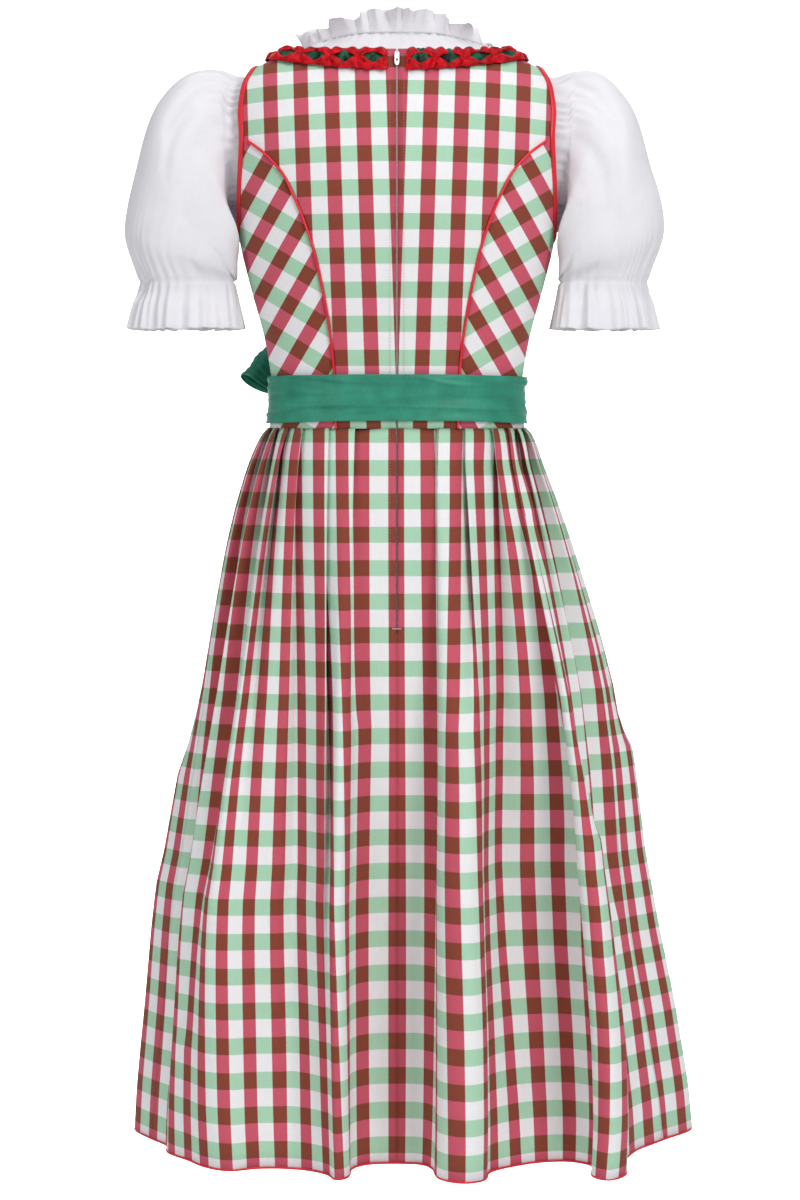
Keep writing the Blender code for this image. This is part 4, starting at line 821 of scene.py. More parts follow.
CHECK_START = 0.0062   # from the waist seam down to the middle of the first green stripe
for hand, (grid, cut, side) in halves.items():
    grid, cut = grid[:, :side], cut[:, :side]
    cloth_piece(f"skirt_back_{hand}_cotton", f"skirt_back_{hand}", "check_cotton", checked,
                grid, cut + (0, CHECK_START), (float(np.ptp(cut[-1, :, 0])), SKIRT_LONG),
                "gathered", rests_on=[f"bodice_back_{hand}"], centre=(0, 0, -0.7))
left, left_cut, side = halves["left"]
right, right_cut, _ = halves["right"]
shift = left_cut[:, -1:, 0] - right_cut[:, -1:, 0]
right_cut = right_cut + np.stack([shift, shift * 0], -1)


def round_front(left, right):
    """The front's grid, from the left side seam round to the right one."""
    return np.concatenate([left[:, side - 1:], right[:, side - 1:][:, ::-1][:, 1:]], axis=1)


cut = round_front(left_cut, right_cut)
cloth_piece("skirt_front_cotton", "skirt_front", "check_cotton", checked, round_front(left, right),
            cut + (0, CHECK_START), (float(np.ptp(cut[-1, :, 0])), SKIRT_LONG), "gathered",
            rests_on=["bodice_front_centre"], centre=(0, 0, -0.7))

hem_line = np.concatenate([left[-1], right[-1][::-1][1:-1]]) + (0, 0, -0.0006)
hem_line[:, :2] = smoothed(hem_line[:, :2], 2)
piece = grown("hem_piping_cord", cord_tree, [closed_even(hem_line, 899)], red_satin, closed=True,
              Thickness=0.0024, Sides=6)
placed(piece, "red_satin", "hem_piping")

# ==== APRON AND BOW ====
# A gathered apron of green satin hangs from a band at the front. The band's ties go round the back
# over the waist seam and close in a bow on the wearer's left. The ties are pulled into soft creases.
BOW_ANGLE, BAND_EDGE, APRON_EDGE = (math.radians(d) for d in (128, 122, 128))
BAND_TOP_Z, BAND_BOTTOM_Z, BAND_CREASES = -0.3122, -0.3588, 34
APRON_LONG, APRON_WAVES, APRON_OUT = 0.640, 13, 0.0129
# its dark and light greens: the satin's own green, spread into painted shade and painted highlights
green_satin = satin("green_satin", rgb(18, 100, 80), rgb(64, 164, 136), rough=0.44, specular=0.26)
rng = np.random.default_rng(12)


def creased_band(name, node, first, last, count):
    """A stretch of band between two angles, its soft creases running along it at slight slopes."""
    turns, share = np.linspace(first, last, count), np.linspace(0, 1, 40)[:, None]
    sin = np.sin(turns)
    top, bottom = BAND_TOP_Z - 0.0022 * sin ** 2, BAND_BOTTOM_Z - 0.0032 * sin ** 2
    heights = bottom + (top - bottom) * share
    lift = 0.0042 + 0.0006 * np.sin(math.pi * share)
    for _ in range(BAND_CREASES):
        centre, reach = rng.uniform(first, last), rng.uniform(0.25, 0.9)
        place, slope, wide = rng.uniform(0.05, 0.95), rng.uniform(-0.22, 0.22), rng.uniform(0.035, 0.085)
        depth = rng.choice((-1, 1)) * rng.uniform(0.0008, 0.0021)
        along = (turns - centre) / reach
        middle = place + slope * along + 0.03 * np.sin(along * 4 + centre)
        lift = lift + depth * np.exp(-(((share - middle) / wide) ** 2)) * np.exp(-along ** 2 * 2)
    lift = np.maximum(lift, 0.0031)
    lift = lift + 0.0009 * np.exp(-(((share - 0.30 - 0.03 * np.sin(turns * 2.2)) / 0.035) ** 2))
    points = form(turns, heights, lift)
    run = run_length(points[20])
    cut = np.stack(np.broadcast_arrays(run, heights), -1)
    cloth_piece(name, node, "green_satin", green_satin, points, cut, (float(run[-1]), 0.056), "stretched",
                rests_on=["waist seam"], thick=0.0011, centre=(0, 0, -0.33))


creased_band("apron_tie_satin", "apron_tie", -BAND_EDGE + 0.003, BAND_EDGE - 0.003, 260)
creased_band("apron_band_satin", "apron_band", BAND_EDGE, 2 * math.pi - BAND_EDGE, 160)


def apron_point(turn, v, out):
    """A point outside the front of the skirt; turn is the angle from the centre back."""
    hem = hem_ring(turn, HEM_CENTRE)
    flare = (v ** FLARE)[..., None]
    plan = (1 - flare) * form_surface(turn, WAIST_Z)[..., :2] + flare * hem
    plan = plan * np.stack([side_swell(v, turn <= math.pi), np.ones_like(v)], -1)
    return plan + unit(plan - (HEM_CENTRE, 0) * flare) * out[..., None]


def gathers(run, drop):
    """Height of an apron's gathers: fine tucks at the band that run together into waves below."""
    waves = (1 - np.cos(2 * math.pi * APRON_WAVES * run)) / 2
    tucks = (1 - np.cos(2 * math.pi * APRON_WAVES * 4 * run + 3 * np.sin(run * 40))) / 2
    fine = np.exp(-drop / 0.035)
    deepening = 0.0058 * (0.35 + 0.65 * np.minimum(1, drop * 8))
    return waves * deepening * (1 - 0.6 * fine) + tucks * 0.0022 * fine


APRON_TOP_Z, APRON_START = -0.3577, 0.0046        # where it comes out from under the band, and how far out
run, drop = np.meshgrid(np.linspace(0, 1, 400), np.linspace(0, 1, 48) ** 1.3 * APRON_LONG)
turn = APRON_EDGE + (2 * math.pi - 2 * APRON_EDGE) * run
z = APRON_TOP_Z - drop
v = share_down(z)
out = APRON_START + (APRON_OUT - APRON_START) * np.minimum(1, v * 12) + gathers(run, drop)
points = np.concatenate([apron_point(turn, v, out), z[..., None]], -1)
hem_long = float(run_length(points[-1])[-1])
fullness = 1.18
cloth_piece("apron_skirt_satin", "apron_skirt", "green_satin", green_satin, points,
            np.stack([run * hem_long * fullness, -drop], -1), (hem_long, APRON_LONG), "gathered",
            rests_on=["apron_band_satin"], centre=(0, 0.4, -0.7))
stitches("apron_hem_stitches", "green_satin", green_satin, [points[-1] + (0, 0, 0.022)],
         0.003, 0.0022, 0.0005)

BOW_Z, BOW_OUT = -0.3367, 0.0129
KNOT_TALL, KNOT_DEEP, KNOT_WIDE = 0.0148, 0.0074, 0.0090           # from its middle
knot_out = unit(form_normal(BOW_ANGLE, BOW_Z) * (1, 1, 0))
knot_back, up = np.array([-knot_out[1], knot_out[0], 0]), np.array([0, 0, 1.0])
knot = form_surface(BOW_ANGLE, BOW_Z) + knot_out * BOW_OUT


def ribbon(name, node, path, wide, widths, swell, cut_size):
    """A ribbon along a smooth path, gathered where it is narrow and crowned across where it is wide."""
    count, path = 90, np.array(path)
    line = flowing(path, count)
    wide_at = eased(run_length(path) / run_length(path)[-1], np.array(widths), np.linspace(0, 1, count))
    along = unit(np.gradient(line, axis=0))
    face = unit(np.cross(along, wide))
    share = np.linspace(-0.5, 0.5, 41)
    tight = np.clip(1.2 - wide_at / max(widths), 0, 1)[:, None]
    gathered = 0.0016 * np.cos(share * 2 * math.pi * 6.5) * tight
    folds = gathered + 0.0010 * np.sin(share * 11 + 1) * (1 - tight)
    crown = swell * np.sin(np.linspace(0, math.pi, count))[:, None] * (1 - (2 * share) ** 2)
    grid = line[:, None] + wide * (wide_at[:, None] * share)[..., None]
    grid = grid + face[:, None] * (folds + crown)[..., None]
    cut = np.stack(np.meshgrid(share * cut_size[0], run_length(line)), -1)
    cloth_piece(name, node, "green_satin", green_satin, grid, cut, cut_size, "folded",
                rests_on=["bow_knot_satin"], thick=0.0007)


# a loop of the bow from the knot and back to it: along, and out
LOOP = ((0.0090, 0.0034), (0.030, 0.0125), (0.052, 0.0150), (0.066, 0.0120), (0.071, 0.0055),
        (0.066, -0.0010), (0.050, -0.0020), (0.030, -0.0020), (0.0090, -0.0030))
LOOP_WIDTHS = (0.016, 0.034, 0.046, 0.050, 0.051, 0.050, 0.044, 0.032, 0.016)
for name, way, start, reach in (("bow_loop_back", unit(knot_back * 0.67 + up * 0.74), 0.0110, 0.73),
                                ("bow_loop_front", unit(-knot_back - up * 0.22), 0.0080, 1.0)):
    path = [knot + way * (start + (a - 0.009) * reach) + knot_out * (b + 0.003 * a / 0.07) for a, b in LOOP]
    wide = np.cross(knot_out, way)
    wide = wide * math.copysign(1, wide[2])
    length = float(run_length(np.array(path))[-1])
    ribbon(f"{name}_satin", name, path, wide, LOOP_WIDTHS, 0.0006, (0.052, length))

turns, rise = np.meshgrid(np.linspace(0, 2 * math.pi, 49)[:-1], np.linspace(-1, 1, 25))
girth = (1 - 0.42 * np.abs(rise) ** 4) * (1 + 0.05 * np.cos(turns * 9 + rise * 2) + 0.03 * np.cos(turns * 15))
points = (knot + up * (rise * KNOT_TALL)[..., None]
          + knot_out * (np.cos(turns) * KNOT_DEEP * girth)[..., None]
          + knot_back * (np.sin(turns) * KNOT_WIDE * girth)[..., None])
cut = np.stack(np.meshgrid(np.linspace(0, 0.056, 49), np.linspace(0, 0.030, 25)), -1)
cloth_piece("bow_knot_satin", "bow_knot", "green_satin", green_satin, points, cut, (0.056, 0.034), "folded",
            rests_on=["apron_tie_satin"], thick=0.0008, around=True, centre=knot)

# the tails hang down over the apron, their ends cut on the slant
TAIL_WIDE, TAIL_TOP_Z = 0.058, -0.3509
for name, shift, start, lift, long, slant in (("bow_tail_long", 0.045, 0.0095, 0.0190, 0.33, 0.018),
                                              ("bow_tail_short", 0.022, 0.0135, 0.0232, 0.28, -0.016)):
    s, drop = np.meshgrid(np.linspace(-0.5, 0.5, 41), np.linspace(0, 1, 80))
    wide = 0.018 + 0.040 * np.minimum(1, drop * 3)
    z = TAIL_TOP_Z - (long + slant * s) * drop
    v = share_down(z)
    turn = BOW_ANGLE + (shift * np.minimum(1, drop * 3) + wide * s) / (0.13 + 0.15 * v ** FLARE)
    folds = 0.0018 * np.cos(s * 2 * math.pi * 3.5 + 0.6) * np.exp(-drop * 3)
    folds = folds + 0.0020 * np.sin(s * 7 + drop * 2.5) * drop
    out = start + (lift - start) * np.minimum(1, v * 12) + 0.0006 + np.maximum(folds, -0.0012)
    points = np.concatenate([apron_point(turn, v, out), z[..., None]], -1)
    cut = np.stack([s * TAIL_WIDE, -drop * long], -1)
    cloth_piece(f"{name}_satin", name, "green_satin", green_satin, points, cut, (TAIL_WIDE, long), "hung",
                rests_on=["bow_knot_satin"], thick=0.0007, centre=(0, 0.4, -0.5))

# ==== BLOUSE ====
# A short blouse of white cotton worn under the dress, cut as a back and a front gathered into a
# frill at the neck. The puffed sleeves are gathered at the armhole and again by an elastic above
# the cuff, whose edge stands out as a frill.
BLOUSE_HEM_Z, BLOUSE_UNDERARM, BLOUSE_SHOULDER_Z = -0.205, -0.1735, -0.0125
# the neck edge: degrees from the centre back, height
BLOUSE_NECK = np.array([(0, 0.0260), (35, 0.0255), (60, 0.0220), (90, 0.0140), (117, 0.0105), (131, 0.0045),
                        (147, -0.0120), (157, -0.0400), (164, -0.0580), (172, -0.0660), (180, -0.0680)])
# the sleeve from the armhole down: outer edge across and height, inner edge across and height, half depth
SLEEVE_RINGS = np.array([(0.1770, -0.0115, 0.1660, -0.1840, 0.0440),
                         (0.2070, -0.0150, 0.1630, -0.2000, 0.0550),
                         (0.2370, -0.0420, 0.1615, -0.2070, 0.0600),
                         (0.2580, -0.1080, 0.1610, -0.2120, 0.0610),
                         (0.2715, -0.1740, 0.1610, -0.2180, 0.0580),
                         (0.2570, -0.2210, 0.1625, -0.2210, 0.0460),
                         (0.2625, -0.2450, 0.1590, -0.2470, 0.0530),
                         (0.2660, -0.2680, 0.1565, -0.2680, 0.0580)])
ELASTIC_RING = 7                      # counting the two rings that start at the armhole
SLEEVE_ROUND = 0.86                   # of a ring; 1 would make it an ellipse


def plain_cotton():
    """Fine white cotton, a little uneven in the thread, with painted shade in the hollows of its soft
    creases.
    """
    finish = Finish("white_cotton", rough=0.82, sheen=0.0, specular=0.20)
    place, across, along = finish.cut_place()
    slub = finish.noise(finish.scaled(place, 1400, 90), 1.0, 2.0)
    creases = finish.noise(finish.node("ShaderNodeTexCoord", out=3), 42.0, 4.0, 0.55)
    # painted shade: the noise that raises the creases' bump also darkens the colour in their hollows; the
    # slub is the thread's own unevenness
    lighter = (slub * 0.5 + creases * 0.6 - 0.1).clamp()
    finish.feed("Base Color", finish.mix(lighter, rgb(226, 225, 232), rgb(246, 246, 249)))
    finish.bump(finish.weave(across, along, WHITE_THREADS) * 0.08 + slub * 0.12 + creases * 1.2, 0.0016, 0.55)
    return finish.material


white_cotton = plain_cotton()


def ripple(places, wavelength, seed):
    """A soft, uneven swell between -1 and 1 over points in space."""
    draw = np.random.default_rng(seed)
    total = 0
    for _ in range(9):
        way = unit(draw.normal(size=3)) * 2 * math.pi / (wavelength * draw.uniform(0.7, 1.5))
        total = total + np.sin(places @ way + draw.uniform(0, 2 * math.pi))
    return total / 5.0


def blouse_armhole(front):
    """The blouse's armhole, a little inside the bodice's, from the shoulder down."""
    line = flowing(ARMHOLE_FRONT if front else ARMHOLE_BACK, 40)[1:-1]
    line = on_form([(x + 0.0042, z) for x, z in line if z > BLOUSE_UNDERARM + 0.012], front)
    turn = side_edge(front)
    return np.concatenate([[(turn, BLOUSE_SHOULDER_Z)], line, [(turn, BLOUSE_UNDERARM)]])


def blouse_depth(angle, z):
    """How far under the bodice's surface the blouse lies, most under the front straps."""
    return 0.0046 + 0.0048 * np.clip(-np.cos(angle) * 4, 0, 1) * np.clip((z + 0.07) / 0.03, 0, 1)


def neck_height(angle):
    """The height of the blouse's neck edge at an angle, the same on both sides."""
    turn = np.minimum(np.abs(angle), 2 * math.pi - np.abs(angle))
    return eased(np.radians(BLOUSE_NECK[:, 0]), BLOUSE_NECK[:, 1], turn)


for place, front in (("back", False), ("front", True)):
    turn, middle = side_edge(front), math.pi if front else 0.0
    hole = even(blouse_armhole(front), 40)
    outside = np.concatenate([[(turn, BLOUSE_HEM_Z)], hole[::-1]])
    across = np.linspace(middle, turn, 60)
    shoulder = [(turn, z) for z in (0.009, 0.003, -0.004, BLOUSE_SHOULDER_Z)]
    top = np.concatenate([places(across, neck_height(across)), shoulder])
    low = BLOUSE_UNDERARM + (0.01 if front else 0.02)
    rise = np.interp(np.arange(len(outside)), (0, 1, len(outside) - 1), (BLOUSE_HEM_Z, low, top[0][1]))
    bottom = places(np.linspace(middle, turn, len(top)), BLOUSE_HEM_Z)
    half = panel(bottom, top, places(middle, rise), outside, 0.5)
    grid = np.concatenate([other_side(half[:, ::-1][:, :-1], middle), half], axis=1)
    angle, z = grid[..., 0], grid[..., 1]
    below = np.maximum(neck_height(angle) - z, 0)
    tucks = np.exp(-below / 0.014) * (0.0008 * np.sin(angle * 52 + 2 * np.sin(angle * 9)) - 0.0002)
    cloth_piece(f"blouse_{place}_cotton", f"blouse_{place}", "white_cotton", white_cotton,
                form(angle, z, tucks - blouse_depth(angle, z)), np.stack([angle * 0.15, z], -1), (0.46, 0.24),
                "gathered", area=0.062 if front else 0.074, rests_on=["neck frill"], thick=0.0007,
                centre=(0, 0, -0.1))

# the sleeve's rings, round from the shoulder over the back to the underarm and up the front
AROUND, ALONG = 252, 116
back, front = even(blouse_armhole(False), 60), even(blouse_armhole(True), 60)
loop = np.concatenate([back, front[::-1][1:-1]])
edge = form(loop[:, 0], loop[:, 1], -blouse_depth(loop[:, 0], loop[:, 1]))
start = closed_even(edge, AROUND)
inward = unit(start.mean(0) - start)
turns = np.arange(AROUND) * 2 * math.pi / AROUND
rings = [start + inward * 0.0022, start + (0.0105, 0, 0) + inward * 0.0016]
for out_x, out_z, in_x, in_z, deep in SLEEVE_RINGS:
    outer, inner = np.array([out_x, 0, out_z]), np.array([in_x, 0, in_z])
    across, along = (signed_power(f, SLEEVE_ROUND) for f in (np.cos(turns), np.sin(turns)))
    ring = (outer + inner) / 2 + (outer - inner) / 2 * across[:, None] + np.outer(deep * along, (0, 1, 0))
    # full behind the arm, where the sleeve swells over the armhole
    ring[:, 0] -= 0.011 * np.exp(-((turns - 2.25) / 0.50) ** 2) * (out_x > 0.19)
    rings.append(ring)
rings = np.array(rings)
spacing = np.linalg.norm(np.diff(rings, axis=0), axis=2).mean(1)
stations = np.concatenate([[0], np.cumsum(spacing)])
down = np.linspace(0, stations[-1], ALONG)
sleeve = [eased(stations, rings[:, i, k], down) for i in range(AROUND) for k in range(3)]
sleeve = np.stack(sleeve, -1).reshape(ALONG, AROUND, 3)
elastic = stations[ELASTIC_RING]
# creases pulled from the gathers at the shoulder, and up from the elastic: down and round the sleeve
# where they start, the same where they end, and their depth
PULLS = ((0.02, 0.55, 0.085, 0.95, 0.0040), (0.02, 0.80, 0.105, 1.20, 0.0030),
         (0.03, 1.35, 0.12, 1.55, 0.0022), (0.12, 2.10, 0.178, 2.60, 0.0034),
         (0.15, 1.75, 0.20, 1.95, 0.0030), (0.15, 0.75, 0.20, 0.60, 0.0028),
         (0.03, -0.60, 0.10, -0.90, 0.0035), (0.13, -1.9, 0.178, -2.3, 0.0030),
         (0.15, -0.9, 0.20, -0.7, 0.0026))
SLEEVE_CUT = (0.46, 0.27)             # round and long, on the flat cloth
SLEEVE_NEAREST = 0.1480               # across, where it stays clear of the bodice


def pressed(distance, reach):
    """1 at a line and falling away softly on both sides."""
    return np.exp(-(distance / reach) ** 2)


def sleeve_relief(seed):
    """How far the gathers, waves and creases of a sleeve stand out, and where."""
    at, round_ = down[:, None], turns[None, :]
    cap = 0.35 + 0.65 * np.clip(np.cos(round_), 0, 1) ** 0.5
    near_cap = np.exp(-(at / 0.034) ** 1.5)
    above_band = np.exp(-np.clip(elastic - at, 0, 1) / 0.020) * (at <= elastic) + (at > elastic)
    lean = 1.6 * np.sin(round_ * 3 + seed) + 0.9 * np.sin(round_ * 7 + 2 * seed)
    gather_cap = np.cos(round_ * 31 + 2.2 * lean) * near_cap * cap * np.clip(at / 0.006, 0, 1) * 0.0018
    flat_band = 1 - 0.6 * pressed(at - elastic, 0.0030)
    gather_band = np.cos(round_ * 37 + 2.0 * lean) * above_band * flat_band * 0.0011
    frill = np.clip((at - elastic) / (stations[-1] - elastic), 0, 1)
    waves = (np.sin(round_ * 14 + lean * 2.1) + 0.4 * np.sin(round_ * 29 - lean)) * frill ** 0.9 * 0.0040
    soft = ripple(sleeve * (1, 1, 0.6), 0.085, seed) * 0.0030 * np.clip(at / 0.03, 0, 1)
    soft = soft * (1 - pressed(at - elastic, 0.03))
    pulls = 0
    for t0, r0, t1, r1, depth in PULLS:
        share = np.clip((at - t0) / (t1 - t0), 0, 1)
        away = (round_ + math.pi) % (2 * math.pi) - math.pi - (r0 + (r1 - r0) * share + 0.05 * math.sin(seed))
        pulls = pulls - depth * pressed(away, 0.11) * np.sin(math.pi * share) ** 0.7
    return gather_cap + gather_band + waves + soft + pulls - 0.0014 * pressed(at - elastic, 0.0022)


for hand, way, seed in (("left", 1, 4), ("right", -1, 9)):
    normal = unit(np.cross(np.roll(sleeve, -1, 1) - np.roll(sleeve, 1, 1), np.gradient(sleeve, axis=0)))
    normal = normal * np.sign(np.sum(normal * (sleeve - sleeve.mean(1, keepdims=True))))
    points = sleeve + normal * sleeve_relief(seed)[..., None]
    # the wearer's right sleeve hangs a little closer
    closer = 0.007 if hand == "right" else 0.0
    points[..., 0] -= closer * np.clip((points[..., 0] - 0.17) / 0.09, 0, 1)
    # and both stay clear of the bodice
    nearest = SLEEVE_NEAREST - 0.03 * np.clip(1 - down[:, None] / 0.02, 0, 1)
    points[..., 0] = np.maximum(points[..., 0], nearest)
    cut = np.stack(np.broadcast_arrays(np.arange(AROUND + 1) * SLEEVE_CUT[0] / AROUND, -down[:, None]), -1)
    cloth_piece(f"sleeve_{hand}_cotton", f"sleeve_{hand}", "white_cotton", white_cotton, points * (way, 1, 1),
                cut * (way, 1), SLEEVE_CUT, "gathered", area=0.098,
                rests_on=["blouse_back_cotton", "blouse_front_cotton"], thick=0.0007, around=True,
                centre=(0.21 * way, 0, -0.14))
    row = int(np.argmin(np.abs(down - elastic)))
    lines = [points[k] + normal[k] * 0.0002 for k in (row - 3, row + 3, -3)]
    stitches(f"sleeve_{hand}_stitches", "white_cotton", white_cotton,
             [np.concatenate([line, line[:1]]) * (way, 1, 1) for line in lines], 0.0028, 0.0020, 0.00045)

# the frill: a strip gathered to about 0.7 of its length, standing up round the neck and leaning out
WAVES, TALL, STEPS = 33, 0.0205, 16
# how high it stands across the back, from the wearer's right: it is crushed into a few lobes
FRILL_TOP = np.array([(-0.110, 0.008), (-0.090, 0.010), (-0.084, 0.031), (-0.052, 0.034), (-0.043, 0.043),
                      (-0.020, 0.046), (0.028, 0.046), (0.038, 0.038), (0.058, 0.038), (0.064, 0.031),
                      (0.078, 0.029), (0.099, 0.029), (0.104, 0.016)])
share = np.linspace(0, 1, WAVES * 18 + 1)[:-1]
turns = np.linspace(0, 2 * math.pi, 400)
neck_z = neck_height(turns)
edge = form(turns, neck_z, -blouse_depth(turns, neck_z))
run = run_length(edge) / run_length(edge)[-1]
angle, z = np.interp(share, run, turns), np.interp(share, run, neck_z)
base = form(angle, z, -blouse_depth(angle, z) * 0.9)
away = unit(form_normal(angle, z) * (1, 1, 0))
along = unit(np.roll(base, -1, 0) - np.roll(base, 1, 0))
stand = unit(np.cross(along, away))
stand = stand * np.sign(stand[:, 2:])
phase = 2 * math.pi * WAVES * share + 1.7 * np.sin(2 * math.pi * 5 * share)
phase = phase + 1.1 * np.sin(2 * math.pi * 13 * share + 1)
at_back = np.clip((base[:, 1] + 0.02) / 0.02, 0, 1)
beside = np.clip((np.abs(base[:, 0]) - 0.066) / 0.025, 0, 1) * at_back
lean = 0.22 + 0.55 * (1 - np.cos(angle)) / 2 + 0.28 * np.sin(2 * math.pi * 9 * share + 2)
lean = lean * (1 - beside) - beside * np.where(base[:, 0] < 0, 0.9, 0.3)
rise = np.interp(base[:, 0], FRILL_TOP[:, 0], FRILL_TOP[:, 1]) - base[:, 2]
top = np.maximum(rise, 0.005) * 1.08 / np.cos(lean) ** 0.8
tall = TALL * (1.05 + 0.10 * np.sin(2 * math.pi * 11 * share + 0.6)) * (1 - at_back) + top * at_back
tall = tall * (1 + 0.05 * np.sin(2 * math.pi * 19 * share + 2) + 0.04 * np.sin(phase + 0.8))
rows = []
for step in np.linspace(0, 1, STEPS):
    swing = 0.0056 + 0.0018 * np.sin(2 * math.pi * 7 * share)
    swing = (swing * (step ** 0.75 * (1 - at_back) + step ** 1.5 * at_back) + 0.0004) * (1 - 0.5 * beside)
    place = base + stand * (tall * step * np.cos(lean * step))[:, None]
    place = place + away * (tall * step * np.sin(lean * step) * 0.9)[:, None]
    sway = phase + 0.9 * step * np.sin(2 * math.pi * 8 * share + 3)
    place = place + away * (np.sin(sway) * swing)[:, None]
    place = place + along * (np.sin(2 * sway + 0.5) * swing * 0.36)[:, None]
    rows.append(place - stand * 0.0012)
FRILL_LONG = 0.84
cut = np.stack(np.meshgrid(np.linspace(0, FRILL_LONG, len(share) + 1), np.linspace(0, TALL, STEPS)), -1)
cloth_piece("neck_ruffle_cotton", "neck_ruffle", "white_cotton", white_cotton, np.array(rows), cut,
            (FRILL_LONG, TALL), "gathered", rests_on=["blouse_back_cotton", "blouse_front_cotton"],
            thick=0.0006, around=True, centre=(0, 0, -0.4))
stitches("neck_ruffle_stitches", "white_cotton", white_cotton, [base + away * 0.0012 + stand * 0.0004],
         0.0030, 0.0022, 0.0005, closed=True)

# ==== NECK RUCHE ====
# The trim round the neckline, called frog-mouth ruching: a red satin ribbon folded back and tacked
# at even steps, so that its two edges open like mouths over a dark green satin lining.
RUCHE_WIDE, RUCHE_STEP, RUCHE_END = 0.0262, 0.0276, 0.0092
NECK_EDGE_LIFT, TACK_LONG, LINING_INSET = 0.0012, 0.0038, 0.0028
# the lining's near-black and the ribbon's dark red are painted shade in the mouths and creases, and their
# bright patches painted highlights, over the satins' own green and red
dark_satin = satin("deep_green_satin", rgb(0, 8, 7), rgb(14, 92, 64), rough=0.36, specular=0.16,
                   patches=110.0, shade_contrast=3.8)
bright_red = satin("ruche_red_satin", rgb(126, 0, 8), rgb(222, 2, 26), rough=0.40, specular=0.14,
                   patches=170.0, shade_contrast=2.4)


def neck_edge(count):
    """The bodice's neck edge, from beside the zip on the left round the front to the other side."""
    back = back_neck(form_angle(RUCHE_END, NECK_BACK_Z), 60)
    front = on_form(flowing(FRONT_NECK, 60)[::-1], True)
    front[-1, 0] = math.pi
    half = np.concatenate([back, front[1:]])
    whole = np.concatenate([half, other_side(half[::-1][1:])])
    line = form(whole[:, 0], whole[:, 1], NECK_EDGE_LIFT)
    run = run_length(line)
    at = np.linspace(0, run[-1], count)
    angle, z = np.interp(at, run, whole[:, 0]), np.interp(at, run, whole[:, 1])
    return at, form(angle, z, NECK_EDGE_LIFT), form_normal(angle, z), angle, z


UNIT_COLUMNS = 32                         # points along one unit of the ribbon, from tack to tack
units = round(float(run_length(neck_edge(400)[1])[-1]) / RUCHE_STEP)
at, edge_line, edge_out, edge_angle, edge_z = neck_edge(units * UNIT_COLUMNS + 1)
step = at[-1] / units
along = unit(np.gradient(edge_line, axis=0))
into = unit(np.cross(along, edge_out))
into = into * np.sign(-into[:, 2:] - 1e-9)
which = np.floor(np.clip(at / step, 0, units - 1e-6))
from_tack = (0.5 - np.abs(at / step - which - 0.5)) * step      # along the ribbon, to the nearest tack
jitter = np.sin(which * 12.9898) * 0.5 + np.sin(which * 4.1) * 0.5
right_side = np.clip((which - units * 0.80) * 2, 0, 1)
opened = np.clip((from_tack - TACK_LONG) / (step / 2 - TACK_LONG), 0, 1) ** 0.85
opening = (0.0066 + 0.0008 * jitter) * opened
middle = RUCHE_WIDE * (0.53 + 0.03 * jitter + 0.06 * right_side)
at_tack = pressed(from_tack, 0.0024)

# the way down the bodice from each point of the edge, square to the edge: angle and height a metre
turned = (form_surface(edge_angle + 1e-3, edge_z) - form_surface(edge_angle, edge_z)) * 1e3
lowered = (form_surface(edge_angle, edge_z) - form_surface(edge_angle, edge_z - 1e-3)) * 1e3
aa, bb, ab = (np.sum(p * q, -1) for p, q in ((turned, turned), (lowered, lowered), (turned, lowered)))
ra, rb = np.sum(into * turned, -1), np.sum(into * lowered, -1)
way_down = np.stack([ra * bb - rb * ab, rb * aa - ra * ab], -1) / (aa * bb - ab * ab)[:, None]
WAY_STEPS, WAY_LONG = 60, 0.040
parts = np.linspace(0, WAY_LONG, WAY_STEPS)
ways = form_surface(edge_angle[:, None] + way_down[:, :1] * parts, edge_z[:, None] + way_down[:, 1:] * parts)
way_length = np.cumsum(np.linalg.norm(np.diff(ways, axis=1), axis=-1), 1)
way_length = np.concatenate([np.zeros((len(at), 1)), way_length], 1)
columns = np.arange(len(at))


def on_bodice(below, lift):
    """Points of the trim, this far below the neck edge and out of the cloth: one value a column each."""
    hang = 1 + 0.19 * np.clip((0.105 - np.abs(edge_line[:, 0])) / 0.05, 0, 1) * (edge_line[:, 1] > 0)
    reach = np.clip(below * hang / way_length[:, -1], 0, 1) * (WAY_STEPS - 1)
    for _ in range(3):
        low = np.minimum(reach.astype(int), WAY_STEPS - 2)
        here = way_length[columns, low]
        reach = low + np.clip((below * hang - here) / (way_length[columns, low + 1] - here), -3, 3)
        reach = np.clip(reach, 0, WAY_STEPS - 1.001)
    part = reach / (WAY_STEPS - 1) * WAY_LONG
    angle, z = edge_angle + way_down[:, 0] * part, edge_z + way_down[:, 1] * part
    return form_surface(angle, z) + form_normal(angle, z) * (NECK_EDGE_LIFT + lift)[..., None]


def creases(below, seed):
    """Small pleats that run out from each tack."""
    away = np.hypot(from_tack, below - middle)
    fan = np.sin(np.arctan2(below - middle, from_tack) * 6.5 + seed + which * 2.3)
    return 0.0019 * fan * pressed(away, 0.0105) * np.clip(away / 0.003, 0, 1)


PUFF, LIP_OUT = 0.0054, 0.0005


